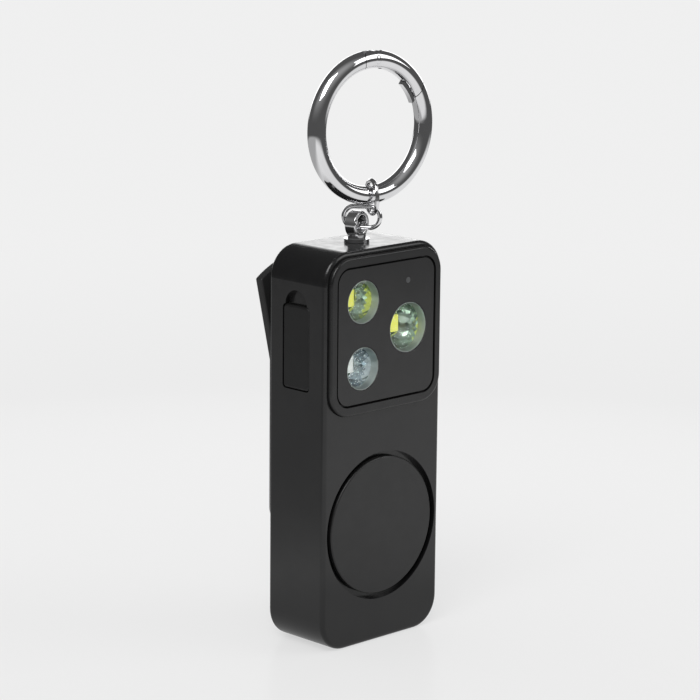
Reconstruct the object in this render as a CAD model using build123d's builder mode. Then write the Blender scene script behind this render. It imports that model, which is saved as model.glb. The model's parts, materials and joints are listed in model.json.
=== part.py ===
"""Personal safety alarm with a torch, a pull pin on a key ring and a spring clip.

Millimetres. X is to the right as the lamps are seen, Y runs rearward, so the front
faces -Y, and Z is up. The origin is the centre of the bottom end.
"""
from build123d import *
from math import cos, hypot, pi, radians, sin, tan
import os

os.makedirs("parts", exist_ok=True)

# Fits
FIT = 0.1            # gap round a fixed piece in its recess
RUNNING = 0.05       # radial gap of a pin or a plunger that turns or slides
SEAT = 0.05          # gap under a moving piece that rests on its stop
OVERRUN = 1.0        # how far a cut runs past the face that it opens

# Housing
BODY_WIDTH = 34.0
BODY_DEPTH = 16.5
BODY_HEIGHT = 84.0
CORNER_RADIUS = 6.5
EDGE_RADIUS = 0.9
WALL = 1.6
COVER_DEPTH = 2.6    # the front cover's edge, from the front face to the seam
TONGUE_DEPTH = 1.2
TONGUE_WALL = 0.9
SCREW_INSET = 2.8        # screw axes, in from the inner side walls
SCREW_END_INSET = 3.9     # and in from the inner end walls
SCREW_BOSS_RADIUS = 2.1
SCREW_RADIUS = 0.9
SCREW_HEAD_RADIUS = 1.6
SCREW_HEAD_DEPTH = 1.1
SCREW_SINK = 2.4     # how deep the screw heads lie under the back
COVER_BOSS_LENGTH = 2.4

FRONT = -BODY_DEPTH / 2
BACK = BODY_DEPTH / 2
MIDDLE = BODY_HEIGHT / 2
SEAM = FRONT + COVER_DEPTH
INNER_WIDTH = BODY_WIDTH - 2 * WALL
INNER_HEIGHT = BODY_HEIGHT - 2 * WALL
INNER_RADIUS = CORNER_RADIUS - WALL
INNER_BACK = BACK - WALL
BOSS_MEET = SEAM + COVER_BOSS_LENGTH
SCREW_WIDTH = INNER_WIDTH - 2 * SCREW_INSET
SCREW_HEIGHT = INNER_HEIGHT - 2 * SCREW_END_INSET

# Lamp unit on the upper front
BEZEL_MARGIN = 1.0        # from the bezel to the housing's sides
BEZEL_TOP_MARGIN = 1.1
BEZEL_HEIGHT = 33.0
BEZEL_RADIUS = 5.5
BEZEL_PROUD = 0.95
BEZEL_SEAT = 1.6     # how deep the bezel sits in the cover
BEZEL_EDGE = 0.5
BEZEL_FLOOR = 1.2
CUP_OPENING_MARGIN = 2.2
BEZEL_RIM = 1.7           # the bezel's face at its sides
BEZEL_END_RIM = 1.9       # and at its top and bottom
WINDOW_RADIUS = 3.0
WINDOW_GAP = 0.45    # shadow gap between bezel and window
WINDOW_THICKNESS = 1.2
LAMP_OFFSET = 6.7    # the two small lamps, left of the middle
LAMP_HEIGHT = 6.95        # and above and below the lamp unit's centre
LARGE_LAMP_OFFSET = 6.35
LENS_RADIUS = 4.5
LARGE_LENS_RADIUS = 5.3
LENS_DOME = 0.75
LENS_FLANGE = 0.5
LENS_FLANGE_DEPTH = 0.6
CUP_WALL = 0.45
CUP_NECK_RADIUS = 2.6
CUP_RIM_DEPTH = 0.5
LED_BOARD_WIDTH = 20.0
LED_BOARD_HEIGHT = 24.0
LED_BOARD_THICKNESS = 0.8
LED_BOARD_SETBACK = 4.6   # from the front face of the cover to the board's face
LED_SIZE = 3.5
LED_HEIGHT = 0.7
LED_DOME_RADIUS = 1.5
LED_DOME_HEIGHT = 0.6
PIPE_RADIUS = 0.65
PIPE_OFFSET = 6.2
PIPE_HEIGHT = 10.0
PIPE_FLANGE = 0.5
INDICATOR_SIZE = 1.6
INDICATOR_HEIGHT = 0.7

BEZEL_WIDTH = BODY_WIDTH - 2 * BEZEL_MARGIN
BEZEL_CENTRE = BODY_HEIGHT - BEZEL_TOP_MARGIN - BEZEL_HEIGHT / 2
WINDOW_WIDTH = BEZEL_WIDTH - 2 * BEZEL_RIM - 2 * WINDOW_GAP
WINDOW_HEIGHT = BEZEL_HEIGHT - 2 * BEZEL_END_RIM - 2 * WINDOW_GAP
BEZEL_BACK = FRONT + BEZEL_SEAT
BEZEL_FACE = FRONT - BEZEL_PROUD
WINDOW_BACK = BEZEL_BACK - BEZEL_FLOOR
WINDOW_FACE = WINDOW_BACK - WINDOW_THICKNESS
LED_BOARD_FACE = FRONT + LED_BOARD_SETBACK
LAMPS = {
    "upper": (-LAMP_OFFSET, BEZEL_CENTRE + LAMP_HEIGHT, LENS_RADIUS),
    "middle": (LARGE_LAMP_OFFSET, BEZEL_CENTRE, LARGE_LENS_RADIUS),
    "lower": (-LAMP_OFFSET, BEZEL_CENTRE - LAMP_HEIGHT, LENS_RADIUS),
}
PIPE_PLACE = (PIPE_OFFSET, BEZEL_CENTRE + PIPE_HEIGHT)

# Sounder on the lower front
SOUNDER_HEIGHT = 24.9
SOUNDER_MARGIN = 1.1      # from the groove to the housing's sides
GROOVE_WIDTH = 1.2
GROOVE_DEPTH = 1.5
DISC_EDGE = 0.35
CHANNEL_DEPTH = 0.6       # air channel under the disc's rim
CHANNEL_WIDTH = 4.5
STUD_RADIUS = 1.0
STUD_CIRCLE_RADIUS = 6.5
STUDS = 3
SLOTS = 6
SLOT_INSET = 3.4          # the slots' middle, in from the disc's edge
SLOT_WIDTH = 1.5
SLOT_SWEEP = 38.0
SLOT_START = 43.0
CAPSULE_MARGIN = 1.9      # from the capsule to the inner side walls
CAPSULE_DEPTH = 4.4
CAPSULE_WALL = 1.0
CAPSULE_FLOOR = 0.8
CAPSULE_VENT_RADIUS = 3.0
PLATE_LEDGE = 0.7
PLATE_SETBACK = 2.1
PLATE_THICKNESS = 0.5
CERAMIC_MARGIN = 3.4      # from the ceramic disc to the plate's edge
CERAMIC_THICKNESS = 0.3

GROOVE_RADIUS = BODY_WIDTH / 2 - SOUNDER_MARGIN
SOUNDER_RADIUS = GROOVE_RADIUS - GROOVE_WIDTH
CHANNEL_RADIUS = SOUNDER_RADIUS - CHANNEL_WIDTH
SLOT_CIRCLE_RADIUS = SOUNDER_RADIUS - SLOT_INSET
CAPSULE_RADIUS = INNER_WIDTH / 2 - CAPSULE_MARGIN
PLATE_RADIUS = CAPSULE_RADIUS - CAPSULE_WALL - FIT
CERAMIC_RADIUS = PLATE_RADIUS - CERAMIC_MARGIN
GROOVE_FLOOR = FRONT + GROOVE_DEPTH

# Main board, battery and charging port
BOARD_GAP = 0.2           # from the board to the pad behind the port cover
BOARD_BOTTOM = 9.0
BOARD_TOP_GAP = 11.0      # from the board to the top end
BOARD_THICKNESS = 1.0
BOARD_FACE = 1.75
BOARD_RADIUS = 1.0
CHIP_SIZE = 5.0
CHIP_THICKNESS = 0.9
CHIP_DROP_HEIGHT = 21.0   # below the board's top edge
HEADER_WIDTH = 7.6
HEADER_HEIGHT = 2.5
HEADER_OFFSET = 4.5
HEADER_DROP_HEIGHT = 9.2  # below the lamp unit's centre
CELL_WIDTH = 20.0
CELL_GAP = 3.5            # from the cell to the clip's pocket
CELL_THICKNESS = 3.2
CELL_RADIUS = 1.2
CELL_BOTTOM = 10.0
TAPE_WIDTH = 16.0
TAPE_MARGIN = 5.0         # from the tape's ends to the cell's ends
TAPE_THICKNESS = 0.3
PORT_DROP_HEIGHT = 20.15  # below the top end
PORT_LONG = 8.94
PORT_SHORT = 3.26
PORT_LENGTH = 7.3
PORT_WALL = 0.3
PORT_SETBACK = 1.3        # the port's mouth, in from the left side
PORT_TONGUE_LONG = 6.7
PORT_TONGUE_THICK = 0.7
PORT_TONGUE_LENGTH = 5.2
PORT_GAP = 0.2

# Cover over the charging port, in the left side
FLAP_WIDTH = 7.7
FLAP_HEIGHT = 17.5
FLAP_THICKNESS = 1.1
FLAP_RADIUS = 0.9
FLAP_MIDDLE = 0.15
FLAP_GAP = 0.12
PLUG_LONG = 7.9
PLUG_SHORT = 2.2
PLUG_LENGTH = 0.9
SCOOP_RADIUS = 3.2
SCOOP_DEPTH = 1.1
PAD_DEPTH = 1.0
PAD_MARGIN = 1.2

# Torch button, in the right side
BUTTON_LENGTH = 9.0
BUTTON_WIDTH = 4.6
BUTTON_DROP_HEIGHT = 21.0 # below the top end
BUTTON_PROUD = 0.5
BUTTON_FLANGE = 0.7
BUTTON_FLANGE_THICKNESS = 0.6
BUTTON_TRAVEL = 0.4
BUTTON_STEM_RADIUS = 0.9
SWITCH_LENGTH = 4.2
SWITCH_HEIGHT = 3.4
SWITCH_DEPTH = 3.0
PLUNGER_RADIUS = 0.7
PLUNGER_LENGTH = 0.5

# Pull pin and its socket in the top end
PIN_RADIUS = 1.3
PIN_DEPTH = 10.5          # how far the pin reaches down from the top end
PIN_TIP = 0.4
PIN_COLLAR_RADIUS = 2.7
PIN_COLLAR_THICKNESS = 0.7
PIN_NECK_RADIUS = 1.95
EYE_CENTRE_HEIGHT = 3.7   # above the top end
EYE_RADIUS = 2.8
EYE_HOLE_RADIUS = 1.85
EYE_LENGTH = 2.5
EYE_EDGE = 0.25
EYE_TURN = 12.0           # direction of the eye's face about Z
SOCKET_WALL = 0.9
SOCKET_LENGTH = 8.0
SOCKET_FLANGE_RADIUS = 3.4
SOCKET_FLANGE_THICKNESS = 0.9
LEAF_THICKNESS = 0.25
LEAF_WIDTH = 2.4
LEAF_DROP_HEIGHT = 8.4    # the leaves' tips, below the top end
LEAF_HEIGHT = 5.1
LEAF_FOOT = 1.8

# Links between the pin and the key ring
LINK_WIRE = 0.5
LINK_GAP = 0.1            # from the lower link up to the key ring
LOWER_LINK_HALF_WIDTH = 3.8
LOWER_LINK_HALF_HEIGHT = 2.2
LOWER_LINK_TURN = -55.0
LOWER_LINK_INSET = 2.75   # its near end, behind the pin's axis along its own plane
LOWER_LINK_HEIGHT = 5.2   # its centre, above the top end
UPPER_LINK_HALF_WIDTH = 3.0
UPPER_LINK_HALF_HEIGHT = 3.4
UPPER_LINK_TURN = 66.0
UPPER_LINK_OFFSET = 3.1   # its centre, along the lower link, from the pin's axis
UPPER_LINK_HEIGHT = 9.45

# Key ring and its spring gate
RING_RADIUS = 14.0
RING_WIRE = 1.9
RING_OFFSET = 0.5         # its centre, left of the upper link along the ring
RING_TURN = -6.0
GATE_HINGE_ANGLE = 88.0
GATE_LATCH_ANGLE = 31.0
GATE_GAP = 0.15
KNUCKLE_RADIUS = 3.3      # the gate's round end about the rivet
GATE_TONGUE = 0.65        # half the thickness of the ring's tongue between the gate's cheeks
GATE_SLOT = 0.8           # half the width of the gate's slots, for tongue and nose
GATE_SLOT_RADIUS = 2.6
GATE_TONGUE_RADIUS = 1.75
GATE_BRIDGE_LENGTH = 3.8  # of the web from the rivet to the ring
GATE_BRIDGE = 1.3         # half its height
NOSE_HALF = 0.65
NOSE_LIP_HEIGHT = 0.7     # how far the nose stands inward of the ring
NOSE_LIP_LENGTH = 0.6     # how far it runs on past the gate's end
NOSE_LENGTH = 4.2         # of the ring's nose inside the gate
RIVET_RADIUS = 0.6
RIVET_LENGTH = 3.7

# Spring clip on the back
CLIP_MARGIN = 2.0         # from the lever to the housing's sides
CLIP_THICKNESS = 1.9
CLIP_GAP = 0.25           # between the lever's lower arm and the back
CLIP_TILT = 14.6
CLIP_ARM_HEIGHT = 38.0    # from the pivot down to the lever's foot
CLIP_BEND_HEIGHT = 0.6    # from the pivot down to the bend
CLIP_TAB_HEIGHT = 20.3    # from the pivot up to the tab's crown
CLIP_CROWN_HEIGHT = 4.2   # from the tab's corners to its crown
CLIP_SHOULDER_RADIUS = 3.0
CLIP_FOOT_RADIUS = 6.0
CLIP_EDGE = 0.4
CLIP_RIDGE_RADIUS = 0.9
CLIP_RIDGE_HEIGHT = 4.0
CLIP_RIDGE_SPACING = 3.0
CLIP_RIDGES = 2
GRIP_GROOVES = 4
GRIP_SPACING = 2.4
GRIP_RADIUS = 0.45
GRIP_WIDTH = 18.0
GRIP_INSET = 3.8
PIVOT_DROP_HEIGHT = 24.0  # below the top end
PIVOT_INSET = 1.75        # pivot axis, in from the back face
PIVOT_RADIUS = 1.0
POCKET_WIDTH = 19.0
POCKET_HEIGHT = 10.4
POCKET_DEPTH = 4.0
POCKET_WALL = 1.3
POCKET_SIDE = 1.6
EAR_RADIUS = 1.65
EAR_THICKNESS = 4.2
EAR_BASE = 2.6
EAR_GAP = 0.3
SPRING_RADIUS = 1.4
SPRING_WIRE = 0.28
SPRING_PITCH = 1.0
SPRING_TURNS = 4
SPRING_LEG = 4.0
SPRING_FLOOR_LEAN = 7.0
SPRING_LEVER_LEAN = 18.0
SPRING_STEPS = 400        # points at which its gap to itself is measured

# Heights and widths that follow from the sizes above
CLIP_WIDTH = BODY_WIDTH - 2 * CLIP_MARGIN
PIVOT_HEIGHT = BODY_HEIGHT - PIVOT_DROP_HEIGHT
CLIP_BOTTOM = PIVOT_HEIGHT - CLIP_ARM_HEIGHT
CLIP_BEND = PIVOT_HEIGHT - CLIP_BEND_HEIGHT
CLIP_TOP = PIVOT_HEIGHT + CLIP_TAB_HEIGHT
CLIP_SHOULDER = CLIP_TOP - CLIP_CROWN_HEIGHT
PORT_HEIGHT = BODY_HEIGHT - PORT_DROP_HEIGHT
FLAP_BOTTOM = PORT_HEIGHT - FLAP_HEIGHT / 2
BUTTON_HEIGHT = BODY_HEIGHT - BUTTON_DROP_HEIGHT
BOARD_WIDTH = INNER_WIDTH - 2 * PAD_DEPTH - 2 * BOARD_GAP
BOARD_TOP = BODY_HEIGHT - BOARD_TOP_GAP
CHIP_HEIGHT = BOARD_TOP - CHIP_DROP_HEIGHT
CELL_TOP = PIVOT_HEIGHT - POCKET_HEIGHT / 2 - POCKET_WALL - CELL_GAP
CELL_HEIGHT = CELL_TOP - CELL_BOTTOM
TAPE_HEIGHT = CELL_HEIGHT - 2 * TAPE_MARGIN
LEAF_TOP = BODY_HEIGHT - LEAF_DROP_HEIGHT
LEAF_BOTTOM = LEAF_TOP - LEAF_HEIGHT
RING_BEND_HEIGHT = LOWER_LINK_HEIGHT + LOWER_LINK_HALF_HEIGHT + LINK_WIRE + LINK_GAP + RING_WIRE
RING_HEIGHT = RING_BEND_HEIGHT + RING_RADIUS


def upright(depth):
    """Plane facing forward at the given Y: local x is X and local y is Z."""
    return Plane(origin=(0, depth, 0), x_dir=(1, 0, 0), z_dir=(0, -1, 0))


def left_side(place):
    """Plane facing left at the given X: local x is -Y and local y is Z."""
    return Plane(origin=(place, 0, 0), x_dir=(0, -1, 0), z_dir=(-1, 0, 0))


def standing(centre, turn):
    """Upright plane through a centre, turned about Z: local x is level and local y is up."""
    level = (cos(radians(turn)), sin(radians(turn)), 0)
    return Plane(origin=centre, x_dir=level, z_dir=(level[1], -level[0], 0))


def keep(piece, name):
    """Label a finished piece and write its file."""
    piece.part.label = name
    export_step(piece.part, f"parts/{name}.step")


# Front cover: the front face, the lamp unit's seat and the sounder's groove
with BuildPart() as front_cover:
    with BuildSketch(upright(SEAM)):
        with Locations((0, MIDDLE)):
            RectangleRounded(BODY_WIDTH, BODY_HEIGHT, CORNER_RADIUS)
    extrude(amount=COVER_DEPTH)
    fillet(front_cover.faces().sort_by(Axis.Y)[0].edges(), EDGE_RADIUS)
    with BuildSketch(upright(SEAM)):
        with Locations((0, MIDDLE)):
            RectangleRounded(INNER_WIDTH - 2 * FIT, INNER_HEIGHT - 2 * FIT, INNER_RADIUS - FIT)
            RectangleRounded(
                INNER_WIDTH - 2 * FIT - 2 * TONGUE_WALL,
                INNER_HEIGHT - 2 * FIT - 2 * TONGUE_WALL,
                INNER_RADIUS - FIT - TONGUE_WALL,
                mode=Mode.SUBTRACT,
            )
    extrude(amount=-TONGUE_DEPTH)
    with BuildSketch(upright(FRONT)):
        with Locations((0, BEZEL_CENTRE)):
            RectangleRounded(BEZEL_WIDTH + 2 * FIT, BEZEL_HEIGHT + 2 * FIT, BEZEL_RADIUS + FIT)
    extrude(amount=-BEZEL_SEAT, mode=Mode.SUBTRACT)
    with BuildSketch(upright(BEZEL_BACK)):
        with Locations((0, BEZEL_CENTRE)):
            RectangleRounded(
                WINDOW_WIDTH - CUP_OPENING_MARGIN, WINDOW_HEIGHT - CUP_OPENING_MARGIN, WINDOW_RADIUS
            )
    extrude(amount=-COVER_DEPTH, mode=Mode.SUBTRACT)
    with BuildSketch(upright(FRONT)):
        with Locations((0, SOUNDER_HEIGHT)):
            Circle(GROOVE_RADIUS)
    extrude(amount=-GROOVE_DEPTH, mode=Mode.SUBTRACT)
    with BuildSketch(upright(GROOVE_FLOOR)):
        with Locations((0, SOUNDER_HEIGHT)):
            for slot in range(SLOTS):
                start = SLOT_START + slot * 360 / SLOTS - SLOT_SWEEP / 2
                SlotArc(
                    Edge.make_circle(SLOT_CIRCLE_RADIUS, start_angle=start, end_angle=start + SLOT_SWEEP),
                    SLOT_WIDTH,
                )
            with PolarLocations(STUD_CIRCLE_RADIUS, STUDS, start_angle=90):
                Circle(STUD_RADIUS + FIT)
    extrude(amount=-COVER_DEPTH, mode=Mode.SUBTRACT)
    with BuildSketch(upright(SEAM)):
        with Locations((0, MIDDLE)):
            with GridLocations(SCREW_WIDTH, SCREW_HEIGHT, 2, 2):
                Circle(SCREW_BOSS_RADIUS)
    extrude(amount=-COVER_BOSS_LENGTH)
    with BuildSketch(upright(BOSS_MEET)):
        with Locations((0, MIDDLE)):
            with GridLocations(SCREW_WIDTH, SCREW_HEIGHT, 2, 2):
                Circle(SCREW_RADIUS)
    extrude(amount=COVER_BOSS_LENGTH, mode=Mode.SUBTRACT)
keep(front_cover, "front_cover")


# Main shell: the tub behind the cover, with the clip's pocket and all side openings
SHELL_DEPTH = BODY_DEPTH - COVER_DEPTH
SIDE = BODY_WIDTH / 2
INNER_SIDE = INNER_WIDTH / 2
PIVOT_DEPTH = BACK - PIVOT_INSET
SOCKET_RADIUS = PIN_RADIUS + RUNNING + SOCKET_WALL
FLAP_CENTRE = FLAP_BOTTOM + FLAP_HEIGHT / 2
FLAP_TOP = FLAP_BOTTOM + FLAP_HEIGHT
PORT_CENTRE = BOARD_FACE - PORT_SHORT / 2
with BuildPart() as main_shell:
    with BuildSketch(upright(BACK)):
        with Locations((0, MIDDLE)):
            RectangleRounded(BODY_WIDTH, BODY_HEIGHT, CORNER_RADIUS)
    extrude(amount=SHELL_DEPTH)
    fillet(main_shell.faces().sort_by(Axis.Y)[-1].edges(), EDGE_RADIUS)
    with BuildSketch(upright(SEAM)):
        with Locations((0, MIDDLE)):
            RectangleRounded(INNER_WIDTH, INNER_HEIGHT, INNER_RADIUS)
    extrude(amount=-(SHELL_DEPTH - WALL), mode=Mode.SUBTRACT)
    with BuildSketch(upright(INNER_BACK)):
        with Locations((0, MIDDLE)):
            with GridLocations(SCREW_WIDTH, SCREW_HEIGHT, 2, 2):
                Circle(SCREW_BOSS_RADIUS)
    extrude(amount=INNER_BACK - BOSS_MEET - SEAT)
    with BuildSketch(upright(INNER_BACK)):
        with Locations((0, PIVOT_HEIGHT)):
            Rectangle(POCKET_WIDTH + 2 * POCKET_SIDE, POCKET_HEIGHT + 2 * POCKET_WALL)
    extrude(amount=POCKET_DEPTH + POCKET_WALL - WALL)
    with BuildSketch(left_side(-INNER_SIDE)):
        with Locations((-FLAP_MIDDLE, FLAP_CENTRE)):
            Rectangle(FLAP_WIDTH + PAD_MARGIN, FLAP_HEIGHT + PAD_MARGIN)
    extrude(amount=-PAD_DEPTH)
    with BuildSketch(Plane.XY.offset(BODY_HEIGHT - WALL)):
        Circle(SOCKET_FLANGE_RADIUS + FIT + SOCKET_WALL)
        Circle(SOCKET_FLANGE_RADIUS + FIT, mode=Mode.SUBTRACT)
    extrude(amount=-SOCKET_FLANGE_THICKNESS)
    with BuildSketch(Plane.XY.offset(BODY_HEIGHT)):
        Circle(SOCKET_RADIUS + RUNNING)
    extrude(amount=-(WALL + OVERRUN), mode=Mode.SUBTRACT)
    with BuildSketch(upright(BACK)):
        with Locations((0, PIVOT_HEIGHT)):
            RectangleRounded(POCKET_WIDTH, POCKET_HEIGHT, EDGE_RADIUS)
    extrude(amount=POCKET_DEPTH, mode=Mode.SUBTRACT)
    with BuildSketch(Plane.YZ):
        with Locations((PIVOT_DEPTH, PIVOT_HEIGHT)):
            Circle(PIVOT_RADIUS)
    extrude(amount=POCKET_WIDTH / 2 + POCKET_SIDE, both=True, mode=Mode.SUBTRACT)
    with BuildSketch(left_side(-SIDE)):
        with Locations((-FLAP_MIDDLE, FLAP_CENTRE)):
            RectangleRounded(FLAP_WIDTH + 2 * FLAP_GAP, FLAP_HEIGHT + 2 * FLAP_GAP, FLAP_RADIUS)
        with Locations((-FLAP_MIDDLE, FLAP_TOP)):
            Circle(SCOOP_RADIUS)
    extrude(amount=-(FLAP_THICKNESS + FLAP_GAP), mode=Mode.SUBTRACT)
    with BuildSketch(left_side(-SIDE)):
        with Locations((-PORT_CENTRE, PORT_HEIGHT)):
            SlotOverall(PORT_LONG + 2 * PORT_GAP, PORT_SHORT + 2 * PORT_GAP, rotation=90)
    extrude(amount=-(WALL + PAD_DEPTH + OVERRUN), mode=Mode.SUBTRACT)
    with BuildSketch(Plane.YZ.offset(INNER_SIDE - OVERRUN)):
        with Locations((0, BUTTON_HEIGHT)):
            SlotOverall(BUTTON_LENGTH + 2 * FIT, BUTTON_WIDTH + 2 * FIT, rotation=90)
    extrude(amount=WALL + 2 * OVERRUN, mode=Mode.SUBTRACT)
    with BuildSketch(upright(BACK)):
        with Locations((0, MIDDLE)):
            with GridLocations(SCREW_WIDTH, SCREW_HEIGHT, 2, 2):
                Circle(SCREW_RADIUS + FIT)
    extrude(amount=BODY_DEPTH, mode=Mode.SUBTRACT)
    with BuildSketch(upright(BACK)):
        with Locations((0, MIDDLE)):
            with GridLocations(SCREW_WIDTH, SCREW_HEIGHT, 2, 2):
                Circle(SCREW_HEAD_RADIUS + FIT)
    extrude(amount=SCREW_SINK + SCREW_HEAD_DEPTH, mode=Mode.SUBTRACT)
keep(main_shell, "main_shell")


# Housing screws: four, sunk in the back
SCREW_SEAT = BACK - SCREW_SINK - SCREW_HEAD_DEPTH
SCREW_LENGTH = SCREW_SEAT - SEAM
with BuildPart() as housing_screws:
    with BuildSketch(upright(SCREW_SEAT)):
        with Locations((0, MIDDLE)):
            with GridLocations(SCREW_WIDTH, SCREW_HEIGHT, 2, 2):
                Circle(SCREW_RADIUS)
    extrude(amount=SCREW_LENGTH)
    with BuildSketch(upright(SCREW_SEAT)):
        with Locations((0, MIDDLE)):
            with GridLocations(SCREW_WIDTH, SCREW_HEIGHT, 2, 2):
                Circle(SCREW_HEAD_RADIUS)
    extrude(amount=-SCREW_HEAD_DEPTH)
keep(housing_screws, "housing_screws")


# Light bezel: the raised frame round the lamps, with a floor that carries the cups
with BuildPart() as light_bezel:
    with BuildSketch(upright(BEZEL_BACK)):
        with Locations((0, BEZEL_CENTRE)):
            RectangleRounded(BEZEL_WIDTH, BEZEL_HEIGHT, BEZEL_RADIUS)
    extrude(amount=BEZEL_SEAT + BEZEL_PROUD)
    fillet(light_bezel.faces().sort_by(Axis.Y)[0].edges(), BEZEL_EDGE)
    with BuildSketch(upright(WINDOW_BACK)):
        with Locations((0, BEZEL_CENTRE)):
            RectangleRounded(
                WINDOW_WIDTH + 2 * WINDOW_GAP, WINDOW_HEIGHT + 2 * WINDOW_GAP, WINDOW_RADIUS + WINDOW_GAP
            )
    extrude(amount=BEZEL_SEAT + BEZEL_PROUD, mode=Mode.SUBTRACT)
    with BuildSketch(upright(BEZEL_BACK)):
        for across, height, radius in LAMPS.values():
            with Locations((across, height)):
                Circle(radius)
        with Locations(PIPE_PLACE):
            Circle(PIPE_RADIUS + RUNNING)
    extrude(amount=BEZEL_FLOOR, mode=Mode.SUBTRACT)
    with BuildSketch(upright(WINDOW_BACK)):
        for across, height, radius in LAMPS.values():
            with Locations((across, height)):
                Circle(radius + LENS_FLANGE + FIT)
        with Locations(PIPE_PLACE):
            Circle(PIPE_RADIUS + PIPE_FLANGE + FIT)
    extrude(amount=-LENS_FLANGE_DEPTH, mode=Mode.SUBTRACT)
keep(light_bezel, "light_bezel")


# Light window: the dark glossy panel, with a round hole for each lens
with BuildPart() as light_window:
    with BuildSketch(upright(WINDOW_BACK)):
        with Locations((0, BEZEL_CENTRE)):
            RectangleRounded(WINDOW_WIDTH, WINDOW_HEIGHT, WINDOW_RADIUS)
        for across, height, radius in LAMPS.values():
            with Locations((across, height)):
                Circle(radius + RUNNING, mode=Mode.SUBTRACT)
        with Locations(PIPE_PLACE):
            Circle(PIPE_RADIUS + RUNNING, mode=Mode.SUBTRACT)
    extrude(amount=WINDOW_THICKNESS)
keep(light_window, "light_window")


# Lamps: each has a domed lens, a bright cup and a light chip on the lamp board
LENS_BACK = WINDOW_BACK + LENS_FLANGE_DEPTH
CUP_FRONT = LENS_BACK
CUP_BACK = LED_BOARD_FACE - FIT
for place, (across, height, radius) in LAMPS.items():
    axis = Axis((across, 0, height), (0, 1, 0))
    dome_radius = (radius**2 + LENS_DOME**2) / (2 * LENS_DOME)
    with BuildPart() as lens:
        with BuildSketch(Plane(origin=(across, 0, height), x_dir=(1, 0, 0), z_dir=(0, 0, 1))):
            with BuildLine():
                Polyline(
                    (0, WINDOW_FACE - LENS_DOME),
                    (0, LENS_BACK),
                    (radius + LENS_FLANGE, LENS_BACK),
                    (radius + LENS_FLANGE, WINDOW_BACK + SEAT),
                    (radius, WINDOW_BACK + SEAT),
                    (radius, WINDOW_FACE),
                )
                RadiusArc((radius, WINDOW_FACE), (0, WINDOW_FACE - LENS_DOME), dome_radius)
            make_face()
        revolve(axis=axis)
    keep(lens, f"lens_{place}")

    with BuildPart() as cup:
        with BuildSketch(Plane(origin=(across, 0, height), x_dir=(1, 0, 0), z_dir=(0, 0, 1))):
            with BuildLine():
                inner = ThreePointArc(
                    (radius - CUP_WALL - FIT, CUP_FRONT),
                    (radius - CUP_WALL - FIT - (CUP_BACK - CUP_FRONT) / 5, (CUP_FRONT + CUP_BACK) / 2),
                    (CUP_NECK_RADIUS, CUP_BACK),
                )
                Polyline(
                    inner @ 1,
                    (CUP_NECK_RADIUS + CUP_WALL, CUP_BACK),
                    (radius + LENS_FLANGE, BEZEL_BACK + CUP_RIM_DEPTH),
                    (radius + LENS_FLANGE, BEZEL_BACK),
                    (radius - RUNNING, BEZEL_BACK),
                    (radius - RUNNING, CUP_FRONT),
                    inner @ 0,
                )
            make_face()
        revolve(axis=axis)
    keep(cup, f"reflector_{place}")

    with BuildPart() as led:
        with BuildSketch(upright(LED_BOARD_FACE)):
            with Locations((across, height)):
                Rectangle(LED_SIZE, LED_SIZE)
        extrude(amount=LED_HEIGHT)
        with BuildSketch(upright(LED_BOARD_FACE - LED_HEIGHT)):
            with Locations((across, height)):
                Circle(LED_DOME_RADIUS)
        extrude(amount=LED_DOME_HEIGHT)
        fillet(led.faces().sort_by(Axis.Y)[0].edges(), LED_DOME_HEIGHT - SEAT)
    keep(led, f"led_{place}")


# Indicator: a small light pipe through the window, over its own chip
with BuildPart() as indicator_pipe:
    with BuildSketch(upright(LED_BOARD_FACE - INDICATOR_HEIGHT - FIT)):
        with Locations(PIPE_PLACE):
            Circle(PIPE_RADIUS)
    extrude(amount=LED_BOARD_FACE - INDICATOR_HEIGHT - FIT - WINDOW_FACE)
    with BuildSketch(upright(LENS_BACK)):
        with Locations(PIPE_PLACE):
            Circle(PIPE_RADIUS + PIPE_FLANGE)
    extrude(amount=LENS_FLANGE_DEPTH - SEAT)
keep(indicator_pipe, "indicator_pipe")

with BuildPart() as indicator_led:
    with BuildSketch(upright(LED_BOARD_FACE)):
        with Locations(PIPE_PLACE):
            Rectangle(INDICATOR_SIZE, INDICATOR_SIZE)
    extrude(amount=INDICATOR_HEIGHT)
keep(indicator_led, "indicator_led")

with BuildPart() as led_board:
    with BuildSketch(upright(LED_BOARD_FACE + LED_BOARD_THICKNESS)):
        with Locations((0, BEZEL_CENTRE)):
            RectangleRounded(LED_BOARD_WIDTH, LED_BOARD_HEIGHT, BOARD_RADIUS)
    extrude(amount=LED_BOARD_THICKNESS)
keep(led_board, "led_board")


# Sounder cover: the flat disc in the round groove, held by three studs
with BuildPart() as sounder_cover:
    with BuildSketch(upright(GROOVE_FLOOR)):
        with Locations((0, SOUNDER_HEIGHT)):
            Circle(SOUNDER_RADIUS)
    extrude(amount=GROOVE_DEPTH)
    fillet(sounder_cover.faces().sort_by(Axis.Y)[0].edges(), DISC_EDGE)
    with BuildSketch(upright(GROOVE_FLOOR)):
        with Locations((0, SOUNDER_HEIGHT)):
            Circle(SOUNDER_RADIUS + OVERRUN)
            Circle(CHANNEL_RADIUS, mode=Mode.SUBTRACT)
    extrude(amount=CHANNEL_DEPTH, mode=Mode.SUBTRACT)
    with BuildSketch(upright(GROOVE_FLOOR)):
        with Locations((0, SOUNDER_HEIGHT)):
            with PolarLocations(STUD_CIRCLE_RADIUS, STUDS, start_angle=90):
                Circle(STUD_RADIUS)
    extrude(amount=-(COVER_DEPTH - GROOVE_DEPTH))
keep(sounder_cover, "sounder_cover")

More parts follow.
